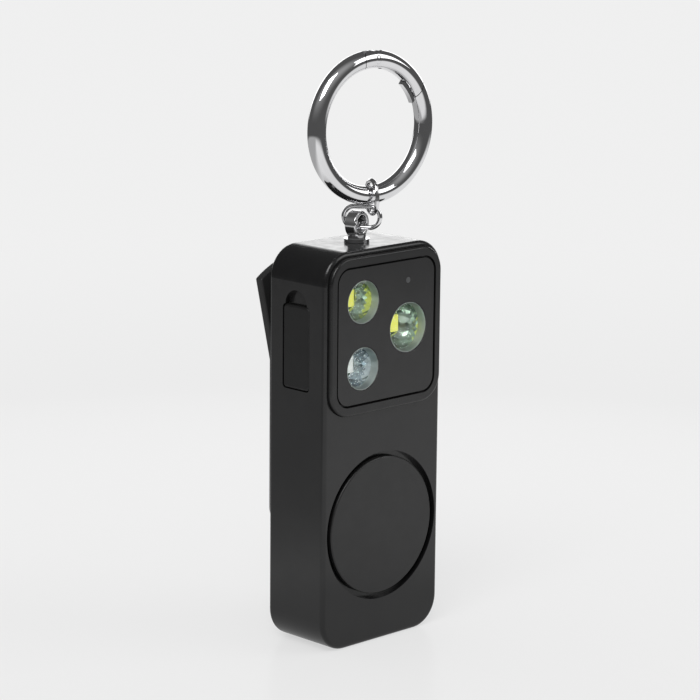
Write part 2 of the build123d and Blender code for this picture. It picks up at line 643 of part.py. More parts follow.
# Sounder capsule: a ring with a vented floor behind the cover, with the sounding plate in it
CAPSULE_BACK = SEAM + CAPSULE_DEPTH
PLATE_BACK = SEAM + PLATE_SETBACK
with BuildPart() as sounder_capsule:
    with BuildSketch(upright(CAPSULE_BACK)):
        with Locations((0, SOUNDER_HEIGHT)):
            Circle(CAPSULE_RADIUS)
    extrude(amount=CAPSULE_DEPTH)
    with BuildSketch(upright(CAPSULE_BACK - CAPSULE_FLOOR)):
        with Locations((0, SOUNDER_HEIGHT)):
            Circle(CAPSULE_RADIUS - CAPSULE_WALL - PLATE_LEDGE)
    extrude(amount=CAPSULE_DEPTH, mode=Mode.SUBTRACT)
    with BuildSketch(upright(PLATE_BACK)):
        with Locations((0, SOUNDER_HEIGHT)):
            Circle(CAPSULE_RADIUS - CAPSULE_WALL)
    extrude(amount=CAPSULE_DEPTH, mode=Mode.SUBTRACT)
    with BuildSketch(upright(CAPSULE_BACK)):
        with Locations((0, SOUNDER_HEIGHT)):
            Circle(CAPSULE_VENT_RADIUS)
    extrude(amount=CAPSULE_FLOOR, mode=Mode.SUBTRACT)
keep(sounder_capsule, "sounder_capsule")

with BuildPart() as piezo_plate:
    with BuildSketch(upright(PLATE_BACK)):
        with Locations((0, SOUNDER_HEIGHT)):
            Circle(PLATE_RADIUS)
    extrude(amount=PLATE_THICKNESS)
keep(piezo_plate, "piezo_plate")

with BuildPart() as piezo_ceramic:
    with BuildSketch(upright(PLATE_BACK)):
        with Locations((0, SOUNDER_HEIGHT)):
            Circle(CERAMIC_RADIUS)
    extrude(amount=-CERAMIC_THICKNESS)
keep(piezo_ceramic, "piezo_ceramic")


# Main board with its chip, and the header that joins it to the lamp board
BOARD_HEIGHT = BOARD_TOP - BOARD_BOTTOM
BOARD_MIDDLE = (BOARD_TOP + BOARD_BOTTOM) / 2
BOARD_BACK = BOARD_FACE + BOARD_THICKNESS
with BuildPart() as main_board:
    with BuildSketch(upright(BOARD_BACK)):
        with Locations((0, BOARD_MIDDLE)):
            RectangleRounded(BOARD_WIDTH, BOARD_HEIGHT, BOARD_RADIUS)
    extrude(amount=BOARD_THICKNESS)
keep(main_board, "main_board")

with BuildPart() as control_chip:
    with BuildSketch(upright(BOARD_FACE)):
        with Locations((0, CHIP_HEIGHT)):
            Rectangle(CHIP_SIZE, CHIP_SIZE)
    extrude(amount=CHIP_THICKNESS)
keep(control_chip, "control_chip")

with BuildPart() as board_header:
    with BuildSketch(upright(BOARD_FACE)):
        with Locations((HEADER_OFFSET, BEZEL_CENTRE - HEADER_DROP_HEIGHT)):
            Rectangle(HEADER_WIDTH, HEADER_HEIGHT)
    extrude(amount=BOARD_FACE - LED_BOARD_FACE - LED_BOARD_THICKNESS)
keep(board_header, "board_header")


# Battery cell on its tape, behind the board
CELL_FACE = BOARD_BACK + TAPE_THICKNESS
with BuildPart() as battery_tape:
    with BuildSketch(upright(CELL_FACE)):
        with Locations((0, CELL_BOTTOM + CELL_HEIGHT / 2)):
            Rectangle(TAPE_WIDTH, TAPE_HEIGHT)
    extrude(amount=TAPE_THICKNESS)
keep(battery_tape, "battery_tape")

with BuildPart() as battery_cell:
    with BuildSketch(upright(CELL_FACE + CELL_THICKNESS)):
        with Locations((0, CELL_BOTTOM + CELL_HEIGHT / 2)):
            Rectangle(CELL_WIDTH, CELL_HEIGHT)
    extrude(amount=CELL_THICKNESS)
    fillet(battery_cell.edges().filter_by(Axis.Z), CELL_RADIUS)
keep(battery_cell, "battery_cell")


# Charging port: a thin metal shell with its contact tongue, on the board's face
PORT_MOUTH = -SIDE + PORT_SETBACK
with BuildPart() as port_shell:
    with BuildSketch(left_side(PORT_MOUTH)):
        with Locations((-PORT_CENTRE, PORT_HEIGHT)):
            SlotOverall(PORT_LONG, PORT_SHORT, rotation=90)
            SlotOverall(
                PORT_LONG - 2 * PORT_WALL, PORT_SHORT - 2 * PORT_WALL, rotation=90, mode=Mode.SUBTRACT
            )
    extrude(amount=-PORT_LENGTH)
    with BuildSketch(left_side(PORT_MOUTH + PORT_LENGTH)):
        with Locations((-PORT_CENTRE, PORT_HEIGHT)):
            SlotOverall(PORT_LONG, PORT_SHORT, rotation=90)
    extrude(amount=PORT_WALL)
keep(port_shell, "port_shell")

with BuildPart() as port_tongue:
    with BuildSketch(left_side(PORT_MOUTH + PORT_LENGTH - PORT_WALL)):
        with Locations((-PORT_CENTRE, PORT_HEIGHT)):
            Rectangle(PORT_TONGUE_THICK, PORT_TONGUE_LONG)
    extrude(amount=PORT_TONGUE_LENGTH)
keep(port_tongue, "port_tongue")


# Port cover: a rubber flap hinged at its foot, with a plug that enters the port
HINGE_SIDE = -SIDE + FLAP_THICKNESS / 2
HINGE_HEIGHT = FLAP_BOTTOM + FLAP_THICKNESS / 2
with BuildPart() as port_cover:
    with BuildSketch(left_side(-SIDE + FLAP_THICKNESS)):
        with Locations((-FLAP_MIDDLE, FLAP_CENTRE)):
            Rectangle(FLAP_WIDTH, FLAP_HEIGHT)
    extrude(amount=FLAP_THICKNESS)
    fillet(port_cover.edges().filter_by(Axis.X), FLAP_RADIUS)
    fillet(port_cover.faces().sort_by(Axis.Z)[0].edges().filter_by(Axis.Y), FLAP_THICKNESS / 2 - SEAT)
    with BuildSketch(left_side(-SIDE + FLAP_THICKNESS)):
        with Locations((-PORT_CENTRE, PORT_HEIGHT)):
            SlotOverall(PLUG_LONG, PLUG_SHORT, rotation=90)
    extrude(amount=-PLUG_LENGTH)
keep(port_cover, "port_cover")


# Torch button in the right side, with its switch on the board
STEM_END = INNER_SIDE - BUTTON_FLANGE_THICKNESS - BUTTON_TRAVEL
SWITCH_FACE = STEM_END - PLUNGER_LENGTH - BUTTON_TRAVEL - SEAT
with BuildPart() as torch_button:
    with BuildSketch(Plane.YZ.offset(INNER_SIDE - SEAT)):
        with Locations((0, BUTTON_HEIGHT)):
            SlotOverall(BUTTON_LENGTH, BUTTON_WIDTH, rotation=90)
    extrude(amount=WALL + BUTTON_PROUD + SEAT)
    fillet(torch_button.faces().sort_by(Axis.X)[-1].edges(), BUTTON_PROUD - SEAT)
    with BuildSketch(Plane.YZ.offset(INNER_SIDE - SEAT)):
        with Locations((0, BUTTON_HEIGHT)):
            SlotOverall(BUTTON_LENGTH + 2 * BUTTON_FLANGE, BUTTON_WIDTH + 2 * BUTTON_FLANGE, rotation=90)
    extrude(amount=-BUTTON_FLANGE_THICKNESS)
    with BuildSketch(Plane.YZ.offset(STEM_END)):
        with Locations((0, BUTTON_HEIGHT)):
            Circle(BUTTON_STEM_RADIUS)
    extrude(amount=BUTTON_FLANGE_THICKNESS)
keep(torch_button, "torch_button")

with BuildPart() as torch_switch:
    with BuildSketch(Plane.YZ.offset(SWITCH_FACE)):
        with Locations((BOARD_FACE - SWITCH_HEIGHT / 2, BUTTON_HEIGHT)):
            Rectangle(SWITCH_HEIGHT, SWITCH_LENGTH)
    extrude(amount=-SWITCH_DEPTH)
    with BuildSketch(Plane.YZ.offset(SWITCH_FACE)):
        with Locations((0, BUTTON_HEIGHT)):
            Circle(PLUNGER_RADIUS)
    extrude(amount=PLUNGER_LENGTH)
keep(torch_switch, "torch_switch")


# Pin socket: a flanged sleeve in the top end, and the contact leaves below it
with BuildPart() as pin_socket:
    with BuildSketch(Plane.XY.offset(BODY_HEIGHT)):
        Circle(SOCKET_RADIUS)
    extrude(amount=-SOCKET_LENGTH)
    with BuildSketch(Plane.XY.offset(BODY_HEIGHT - WALL)):
        Circle(SOCKET_FLANGE_RADIUS)
    extrude(amount=-SOCKET_FLANGE_THICKNESS)
    with BuildSketch(Plane.XY.offset(BODY_HEIGHT)):
        Circle(PIN_RADIUS + RUNNING)
    extrude(amount=-SOCKET_LENGTH, mode=Mode.SUBTRACT)
keep(pin_socket, "pin_socket")

LEAF_PLACE = PIN_RADIUS + RUNNING + LEAF_THICKNESS / 2
with BuildPart() as contact_leaves:
    with BuildSketch(Plane.XY.offset(LEAF_BOTTOM)):
        with GridLocations(2 * LEAF_PLACE, 0, 2, 1):
            with Locations((0, BOARD_FACE - LEAF_WIDTH / 2)):
                Rectangle(LEAF_THICKNESS, LEAF_WIDTH)
    extrude(amount=LEAF_TOP - LEAF_BOTTOM)
    with BuildSketch(Plane.XY.offset(LEAF_BOTTOM)):
        with GridLocations(2 * LEAF_PLACE + LEAF_FOOT - LEAF_THICKNESS, 0, 2, 1):
            with Locations((0, BOARD_FACE - LEAF_THICKNESS / 2)):
                Rectangle(LEAF_FOOT, LEAF_THICKNESS)
    extrude(amount=LEAF_FOOT)
keep(contact_leaves, "contact_leaves")


# Pull pin: shaft, collar and neck turned about Z, and an eye bored across
EYE_HEIGHT = BODY_HEIGHT + EYE_CENTRE_HEIGHT
COLLAR_BOTTOM = BODY_HEIGHT + SEAT
COLLAR_TOP = COLLAR_BOTTOM + PIN_COLLAR_THICKNESS
NECK_TOP = EYE_HEIGHT - EYE_HOLE_RADIUS - EYE_EDGE - SEAT
PIN_BOTTOM = BODY_HEIGHT - PIN_DEPTH
with BuildPart() as pull_pin:
    eye_plane = standing((0, 0, EYE_HEIGHT), EYE_TURN)
    with BuildSketch(eye_plane):
        Circle(EYE_RADIUS)
        Circle(EYE_HOLE_RADIUS, mode=Mode.SUBTRACT)
    extrude(amount=EYE_LENGTH / 2, both=True)
    fillet(pull_pin.edges().filter_by(GeomType.CIRCLE), EYE_EDGE)
    with BuildSketch(Plane.XZ):
        with BuildLine():
            Polyline(
                (0, PIN_BOTTOM),
                (PIN_RADIUS - PIN_TIP, PIN_BOTTOM),
                (PIN_RADIUS, PIN_BOTTOM + PIN_TIP),
                (PIN_RADIUS, COLLAR_BOTTOM),
                (PIN_COLLAR_RADIUS, COLLAR_BOTTOM),
                (PIN_COLLAR_RADIUS, COLLAR_TOP),
                (PIN_NECK_RADIUS, COLLAR_TOP),
                (PIN_NECK_RADIUS, NECK_TOP),
                (0, NECK_TOP),
                close=True,
            )
        make_face()
    revolve(axis=Axis.Z)
keep(pull_pin, "pull_pin")


# Links: two wire loops that join the pin's eye to the key ring
LOWER_ALONG = LOWER_LINK_HALF_WIDTH - LOWER_LINK_INSET
LOWER_CENTRE = (
    LOWER_ALONG * cos(radians(LOWER_LINK_TURN)),
    LOWER_ALONG * sin(radians(LOWER_LINK_TURN)),
    BODY_HEIGHT + LOWER_LINK_HEIGHT,
)
LINK_JOIN = (
    UPPER_LINK_OFFSET * cos(radians(LOWER_LINK_TURN)),
    UPPER_LINK_OFFSET * sin(radians(LOWER_LINK_TURN)),
)
lower_plane = standing(LOWER_CENTRE, LOWER_LINK_TURN)
lower_level = LOWER_LINK_HALF_WIDTH - LOWER_LINK_HALF_HEIGHT
with BuildPart() as lower_link:
    with BuildLine(lower_plane) as lower_route:
        Line((-lower_level, LOWER_LINK_HALF_HEIGHT), (lower_level, LOWER_LINK_HALF_HEIGHT))
        ThreePointArc(
            (lower_level, LOWER_LINK_HALF_HEIGHT),
            (LOWER_LINK_HALF_WIDTH, 0),
            (lower_level, -LOWER_LINK_HALF_HEIGHT),
        )
        Line((lower_level, -LOWER_LINK_HALF_HEIGHT), (-lower_level, -LOWER_LINK_HALF_HEIGHT))
        ThreePointArc(
            (-lower_level, -LOWER_LINK_HALF_HEIGHT),
            (-LOWER_LINK_HALF_WIDTH, 0),
            (-lower_level, LOWER_LINK_HALF_HEIGHT),
        )
    with BuildSketch(lower_route.line ^ 0):
        Circle(LINK_WIRE)
    sweep()
keep(lower_link, "lower_link")

upper_plane = standing((*LINK_JOIN, BODY_HEIGHT + UPPER_LINK_HEIGHT), UPPER_LINK_TURN)
upper_rise = UPPER_LINK_HALF_HEIGHT - UPPER_LINK_HALF_WIDTH
with BuildPart() as upper_link:
    with BuildLine(upper_plane) as upper_route:
        Line((UPPER_LINK_HALF_WIDTH, -upper_rise), (UPPER_LINK_HALF_WIDTH, upper_rise))
        ThreePointArc(
            (UPPER_LINK_HALF_WIDTH, upper_rise),
            (0, UPPER_LINK_HALF_HEIGHT),
            (-UPPER_LINK_HALF_WIDTH, upper_rise),
        )
        Line((-UPPER_LINK_HALF_WIDTH, upper_rise), (-UPPER_LINK_HALF_WIDTH, -upper_rise))
        ThreePointArc(
            (-UPPER_LINK_HALF_WIDTH, -upper_rise),
            (0, -UPPER_LINK_HALF_HEIGHT),
            (UPPER_LINK_HALF_WIDTH, -upper_rise),
        )
    with BuildSketch(upper_route.line ^ 0):
        Circle(LINK_WIRE)
    sweep()
keep(upper_link, "upper_link")


# Key ring: a round ring with a gap that the gate closes, hinged on a rivet at the top
RING_CENTRE = (
    LINK_JOIN[0] - RING_OFFSET * cos(radians(RING_TURN)),
    LINK_JOIN[1] - RING_OFFSET * sin(radians(RING_TURN)),
    BODY_HEIGHT + RING_HEIGHT,
)
ring_plane = standing(RING_CENTRE, RING_TURN)
RIVET_PLACE = (RING_RADIUS * cos(radians(GATE_HINGE_ANGLE)), RING_RADIUS * sin(radians(GATE_HINGE_ANGLE)))
LATCH_PLACE = (RING_RADIUS * cos(radians(GATE_LATCH_ANGLE)), RING_RADIUS * sin(radians(GATE_LATCH_ANGLE)))
GATE_REACH = hypot(LATCH_PLACE[0] - RIVET_PLACE[0], LATCH_PLACE[1] - RIVET_PLACE[1])
NOSE_START = GATE_REACH - NOSE_LENGTH
RING_HALF = RING_WIRE + OVERRUN
REST_PLACE = (RIVET_PLACE[0] - 2 * RING_RADIUS, RIVET_PLACE[1])
with BuildPart(ring_plane) as key_ring:
    Torus(RING_RADIUS, RING_WIRE)
    with BuildSketch(ring_plane.offset(-RING_HALF)):
        with Locations(RIVET_PLACE):
            Circle(NOSE_START)
        with Locations(REST_PLACE):
            Rectangle(4 * RING_RADIUS, 4 * RING_RADIUS, mode=Mode.SUBTRACT)
        with Locations(RIVET_PLACE):
            Circle(KNUCKLE_RADIUS + GATE_GAP)
    extrude(amount=2 * RING_HALF, mode=Mode.SUBTRACT)
    for level in (-RING_HALF, NOSE_HALF):
        with BuildSketch(ring_plane.offset(level)):
            with Locations(RIVET_PLACE):
                Circle(GATE_REACH + GATE_GAP)
                Circle(NOSE_START, mode=Mode.SUBTRACT)
            with Locations(REST_PLACE):
                Rectangle(4 * RING_RADIUS, 4 * RING_RADIUS, mode=Mode.SUBTRACT)
        extrude(amount=RING_HALF - NOSE_HALF, mode=Mode.SUBTRACT)
    with BuildSketch(ring_plane.offset(-NOSE_HALF)):
        with Locations(RIVET_PLACE):
            Circle(GATE_REACH + NOSE_LIP_LENGTH)
            Circle(NOSE_START, mode=Mode.SUBTRACT)
        with Locations(REST_PLACE):
            Rectangle(4 * RING_RADIUS, 4 * RING_RADIUS, mode=Mode.SUBTRACT)
        Circle(RING_RADIUS, mode=Mode.INTERSECT)
        Circle(RING_RADIUS - RING_WIRE - NOSE_LIP_HEIGHT, mode=Mode.SUBTRACT)
    extrude(amount=2 * NOSE_HALF)
    with BuildSketch(ring_plane.offset(-GATE_TONGUE)):
        with Locations(RIVET_PLACE):
            Circle(GATE_TONGUE_RADIUS)
            with Locations((-GATE_BRIDGE_LENGTH / 2, 0)):
                Rectangle(GATE_BRIDGE_LENGTH, 2 * GATE_BRIDGE)
            Circle(RIVET_RADIUS, mode=Mode.SUBTRACT)
    extrude(amount=2 * GATE_TONGUE)
keep(key_ring, "key_ring")

# Ring gate: the rest of the ring's round, with two cheeks on the rivet and a slot for the nose
with BuildPart(ring_plane) as ring_gate:
    Torus(RING_RADIUS, RING_WIRE)
    with BuildSketch(ring_plane.offset(-RING_HALF)):
        with Locations(RIVET_PLACE):
            Circle(GATE_REACH)
        with Locations(REST_PLACE):
            Rectangle(4 * RING_RADIUS, 4 * RING_RADIUS, mode=Mode.SUBTRACT)
        with Locations(RIVET_PLACE):
            Circle(KNUCKLE_RADIUS)
    extrude(amount=2 * RING_HALF, mode=Mode.INTERSECT)
    with BuildSketch(ring_plane.offset(-GATE_SLOT)):
        with Locations(RIVET_PLACE):
            Circle(GATE_REACH + OVERRUN)
            Circle(NOSE_START - GATE_GAP, mode=Mode.SUBTRACT)
            Circle(GATE_SLOT_RADIUS)
        with Locations(REST_PLACE):
            Rectangle(4 * RING_RADIUS, 4 * RING_RADIUS)
    extrude(amount=2 * GATE_SLOT, mode=Mode.SUBTRACT)
    with BuildSketch(ring_plane.offset(-RING_HALF)):
        with Locations(RIVET_PLACE):
            Circle(RIVET_RADIUS + RUNNING)
    extrude(amount=2 * RING_HALF, mode=Mode.SUBTRACT)
keep(ring_gate, "ring_gate")

with BuildPart() as gate_rivet:
    with BuildSketch(ring_plane.offset(-RIVET_LENGTH / 2)):
        with Locations(RIVET_PLACE):
            Circle(RIVET_RADIUS)
    extrude(amount=RIVET_LENGTH)
keep(gate_rivet, "gate_rivet")


# Clip lever: a bent plate whose profile is cut to its outline, with two ears on the pin
CLIP_OUTSIDE = BACK + CLIP_GAP + CLIP_THICKNESS
CLIP_INSIDE = BACK + CLIP_GAP
CLIP_REACH = (CLIP_TOP + OVERRUN - CLIP_BEND) / cos(radians(CLIP_TILT))
BEND_SHIFT = CLIP_THICKNESS * tan(radians(CLIP_TILT / 2))
TAB_ALONG = (sin(radians(CLIP_TILT)), cos(radians(CLIP_TILT)))
TAB_TIP = (CLIP_OUTSIDE + CLIP_REACH * TAB_ALONG[0], CLIP_BEND + CLIP_REACH * TAB_ALONG[1])
with BuildPart() as clip_lever:
    with BuildSketch(Plane.YZ):
        with BuildLine():
            Polyline(
                (CLIP_INSIDE, CLIP_BOTTOM),
                (CLIP_OUTSIDE, CLIP_BOTTOM),
                (CLIP_OUTSIDE, CLIP_BEND),
                TAB_TIP,
                (TAB_TIP[0] - CLIP_THICKNESS * TAB_ALONG[1], TAB_TIP[1] + CLIP_THICKNESS * TAB_ALONG[0]),
                (CLIP_INSIDE, CLIP_BEND + BEND_SHIFT),
                close=True,
            )
        make_face()
    extrude(amount=CLIP_WIDTH / 2, both=True)
    with BuildSketch(upright(CLIP_INSIDE - OVERRUN)):
        with BuildLine():
            Polyline(
                (-CLIP_WIDTH / 2, CLIP_SHOULDER),
                (-CLIP_WIDTH / 2, CLIP_BOTTOM),
                (CLIP_WIDTH / 2, CLIP_BOTTOM),
                (CLIP_WIDTH / 2, CLIP_SHOULDER),
            )
            ThreePointArc((CLIP_WIDTH / 2, CLIP_SHOULDER), (0, CLIP_TOP), (-CLIP_WIDTH / 2, CLIP_SHOULDER))
        outline = make_face()
        fillet(outline.vertices().group_by(Axis.Y)[0], CLIP_FOOT_RADIUS)
        fillet(outline.vertices().group_by(Axis.Y)[-1], CLIP_SHOULDER_RADIUS)
    extrude(amount=-BODY_DEPTH, mode=Mode.INTERSECT)
    fillet(clip_lever.edges().filter_by(Axis.X, reverse=True), CLIP_EDGE)
    for groove in range(GRIP_GROOVES):
        with BuildSketch(Plane.YZ):
            down = (CLIP_TOP - GRIP_INSET - groove * GRIP_SPACING - CLIP_BEND) / TAB_ALONG[1]
            with Locations((CLIP_OUTSIDE + down * TAB_ALONG[0], CLIP_BEND + down * TAB_ALONG[1])):
                Circle(GRIP_RADIUS)
        extrude(amount=GRIP_WIDTH / 2, both=True, mode=Mode.SUBTRACT)
    for ridge in range(CLIP_RIDGES):
        with BuildSketch(Plane.YZ):
            up = CLIP_BOTTOM + CLIP_RIDGE_HEIGHT + ridge * CLIP_RIDGE_SPACING
            with Locations((BACK + SEAT + CLIP_RIDGE_RADIUS, up)):
                Circle(CLIP_RIDGE_RADIUS)
        extrude(amount=CLIP_WIDTH / 2 - CLIP_FOOT_RADIUS, both=True)
    for side in (-1, 1):
        with BuildSketch(Plane.YZ.offset(side * (POCKET_WIDTH / 2 - EAR_GAP))):
            with Locations((PIVOT_DEPTH, PIVOT_HEIGHT)):
                Circle(EAR_RADIUS)
                with Locations(((CLIP_INSIDE + CLIP_EDGE - PIVOT_DEPTH) / 2, 0)):
                    Rectangle(CLIP_INSIDE + CLIP_EDGE - PIVOT_DEPTH, EAR_BASE)
        extrude(amount=-side * EAR_THICKNESS)
    with BuildSketch(Plane.YZ):
        with Locations((PIVOT_DEPTH, PIVOT_HEIGHT)):
            Circle(PIVOT_RADIUS + RUNNING)
    extrude(amount=POCKET_WIDTH / 2, both=True, mode=Mode.SUBTRACT)
keep(clip_lever, "clip_lever")

with BuildPart() as clip_pin:
    with BuildSketch(Plane.YZ):
        with Locations((PIVOT_DEPTH, PIVOT_HEIGHT)):
            Circle(PIVOT_RADIUS)
    extrude(amount=POCKET_WIDTH / 2 + POCKET_SIDE - FIT, both=True)
keep(clip_pin, "clip_pin")


# Clip spring: a coil round the pin, with one leg to the pocket's floor and one to the lever
SPRING_TWIST = 360 * SPRING_TURNS + 180 - SPRING_FLOOR_LEAN - SPRING_LEVER_LEAN
SPRING_LENGTH = SPRING_PITCH * SPRING_TWIST / 360
start_angle = radians(180 + SPRING_FLOOR_LEAN)
coil_plane = Plane(
    origin=(-SPRING_LENGTH / 2, PIVOT_DEPTH, PIVOT_HEIGHT),
    x_dir=(0, cos(start_angle), sin(start_angle)),
    z_dir=(1, 0, 0),
)
coil = Edge.make_helix(SPRING_PITCH, SPRING_LENGTH, SPRING_RADIUS).moved(coil_plane.location)
with BuildPart() as clip_spring:
    with BuildLine() as spring_route:
        Line(coil @ 0 - (coil % 0) * SPRING_LEG, coil @ 0)
        add(coil)
        Line(coil @ 1, coil @ 1 + (coil % 1) * SPRING_LEG)
    route = spring_route.wires()[0]
    with BuildSketch(Plane(origin=route @ 0, z_dir=route % 0)):
        Circle(SPRING_WIRE)
    sweep(path=route)
keep(clip_spring, "clip_spring")
route_points = [route @ (step / SPRING_STEPS) for step in range(SPRING_STEPS + 1)]
half_turn = round(SPRING_STEPS * pi * SPRING_RADIUS / route.length)
spacing = min(
    (point - other).length
    for index, point in enumerate(route_points)
    for other in route_points[index + half_turn :]
)
print("clip spring, least gap to itself:", round(spacing - 2 * SPRING_WIRE, 2), "mm")
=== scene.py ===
"""Looks of a slim personal safety alarm on a spring-gate key ring.

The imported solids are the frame. This script gives each of them its finish, adds the
small moulded and machined detail that the solids leave out, and lights the whole as
on a pale studio table. All lengths are in metres.
"""

import json
import logging
import math
from dataclasses import dataclass
from enum import Enum
from itertools import product

import bmesh
import bpy
from mathutils import Matrix, Vector

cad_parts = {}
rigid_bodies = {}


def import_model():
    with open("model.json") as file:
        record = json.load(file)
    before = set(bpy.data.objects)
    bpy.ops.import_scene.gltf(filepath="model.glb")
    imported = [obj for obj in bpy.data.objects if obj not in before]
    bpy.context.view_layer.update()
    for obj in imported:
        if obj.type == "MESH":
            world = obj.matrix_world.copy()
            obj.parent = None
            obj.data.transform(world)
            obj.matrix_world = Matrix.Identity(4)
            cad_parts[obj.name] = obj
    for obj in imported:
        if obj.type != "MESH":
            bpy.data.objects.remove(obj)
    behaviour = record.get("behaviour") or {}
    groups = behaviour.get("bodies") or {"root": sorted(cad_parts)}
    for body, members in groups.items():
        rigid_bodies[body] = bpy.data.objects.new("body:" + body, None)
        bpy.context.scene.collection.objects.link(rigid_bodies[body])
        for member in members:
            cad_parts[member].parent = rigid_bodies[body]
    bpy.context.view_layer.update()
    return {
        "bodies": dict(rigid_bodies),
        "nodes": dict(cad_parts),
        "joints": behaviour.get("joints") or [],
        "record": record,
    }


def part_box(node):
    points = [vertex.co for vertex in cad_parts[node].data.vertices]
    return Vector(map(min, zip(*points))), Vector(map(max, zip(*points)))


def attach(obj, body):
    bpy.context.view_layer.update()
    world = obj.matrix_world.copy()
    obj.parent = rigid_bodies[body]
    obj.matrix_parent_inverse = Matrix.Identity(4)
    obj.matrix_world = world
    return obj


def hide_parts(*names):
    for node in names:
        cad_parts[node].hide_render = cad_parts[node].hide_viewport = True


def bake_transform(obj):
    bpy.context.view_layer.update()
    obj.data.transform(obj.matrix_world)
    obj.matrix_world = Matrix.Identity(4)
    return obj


LOG = logging.getLogger("alarm")
MM = 0.001
Colour = tuple[float, float, float]
Place = tuple[float, float, float]
Profile = list[tuple[float, float]]
Node = bpy.types.Node
Socket = bpy.types.NodeSocket
Piece = bpy.types.Object
Ring = list[bmesh.types.BMVert]

# Points of one piece that lie closer than this are joined
MERGE_REACH = 0.0005 * MM
# Faces that meet at a larger angle than this, in degrees, keep a sharp edge
SHARP_ANGLE = 35.0
# Each end of a wire is broken over this share of its radius, down to this share of it
WIRE_END_SHARE = 0.35
WIRE_TIP_SHARE = 0.65

# Soft patches of colour: noise scale per metre, octaves, and where the two tones begin
PATCH_SCALE = 140.0
PATCH_DETAIL = 3.0
PATCH_SPAN = (0.35, 0.65)
# Smears of roughness, in the same way
SMEAR_SCALE = 420.0
SMEAR_DETAIL = 4.0
SMEAR_SPAN = (0.3, 0.7)
GRAIN_DETAIL = 2.0
COAT_ROUGHNESS = 0.08
# A brushed surface has its noise drawn out along Z
BRUSH_STRETCH = (1.0, 1.0, 0.06)


def grey(level: float) -> tuple[float, float, float, float]:
    """Give a grey of one level."""
    return (level, level, level, 1.0)


@dataclass(frozen=True)
class Fade:
    """How a number fades from one level to another.

    Args:
        start: Where the fade begins.
        end: Where it ends.
        low: Level at its beginning.
        high: Level at its end.
        soft: Whether it eases in and out.
    """

    start: float = 0.0
    end: float = 1.0
    low: float = 0.0
    high: float = 1.0
    soft: bool = True


class Wiring:
    """Adds nodes to one node tree and joins them."""

    def __init__(self, tree: bpy.types.NodeTree) -> None:
        """Keep the tree."""
        self.tree = tree

    def node(self, kind: str) -> Node:
        """Add a node of one kind."""
        return self.tree.nodes.new(kind)

    def join(self, source: Socket, target: Socket) -> None:
        """Join one socket to another."""
        self.tree.links.new(source, target)

    def place(self, kind: str) -> Socket:
        """Give the coordinates of one kind."""
        return self.node("ShaderNodeTexCoord").outputs[kind]

    def ray(self, kind: str) -> Socket:
        """Tell rays of one kind from all others."""
        return self.node("ShaderNodeLightPath").outputs[kind]

    def work_out(self, operation: str, first: Socket | float, second: Socket | float) -> Socket:
        """Work out a number from two others.

        Args:
            operation: What is done with them.
            first: A socket or a number.
            second: A socket or a number.

        Returns:
            The outcome's socket.
        """
        math_node = self.node("ShaderNodeMath")
        math_node.operation = operation
        for entry, value in zip(math_node.inputs, (first, second)):
            if isinstance(value, float):
                entry.default_value = value
            else:
                self.join(value, entry)
        return math_node.outputs[0]

    def fade(self, value: Socket, fade: Fade) -> Socket:
        """Let a number fade from one level to another.

        Args:
            value: The number.
            fade: How it fades.

        Returns:
            The level's socket.
        """
        band = self.node("ShaderNodeMapRange")
        band.interpolation_type = "SMOOTHSTEP" if fade.soft else "LINEAR"
        band.inputs["From Min"].default_value = fade.start
        band.inputs["From Max"].default_value = fade.end
        band.inputs["To Min"].default_value = fade.low
        band.inputs["To Max"].default_value = fade.high
        self.join(value, band.inputs["Value"])
        return band.outputs["Result"]

    def along(self, place: Socket, way: Place) -> Socket:
        """Tell how far a place lies along a direction.

        Args:
            place: The coordinates.
            way: The direction.

        Returns:
            The distance's socket.
        """
        shadow = self.node("ShaderNodeVectorMath")
        shadow.operation = "DOT_PRODUCT"
        shadow.inputs[1].default_value = way
        self.join(place, shadow.inputs[0])
        return shadow.outputs["Value"]

    def mix(self, share: Socket, first: Socket, second: Socket) -> Socket:
        """Mix two shaders.

        Args:
            share: Share of the second one.
            first: The first shader.
            second: The second shader.

        Returns:
            The mixed shader's socket.
        """
        blend = self.node("ShaderNodeMixShader")
        for entry, value in zip(blend.inputs, (share, first, second)):
            self.join(value, entry)
        return blend.outputs["Shader"]


class Grain(Enum):
    """How the surface of a finish is broken up."""

    EVEN = "even"
    BRUSHED = "brushed"
    CLEAR = "clear"


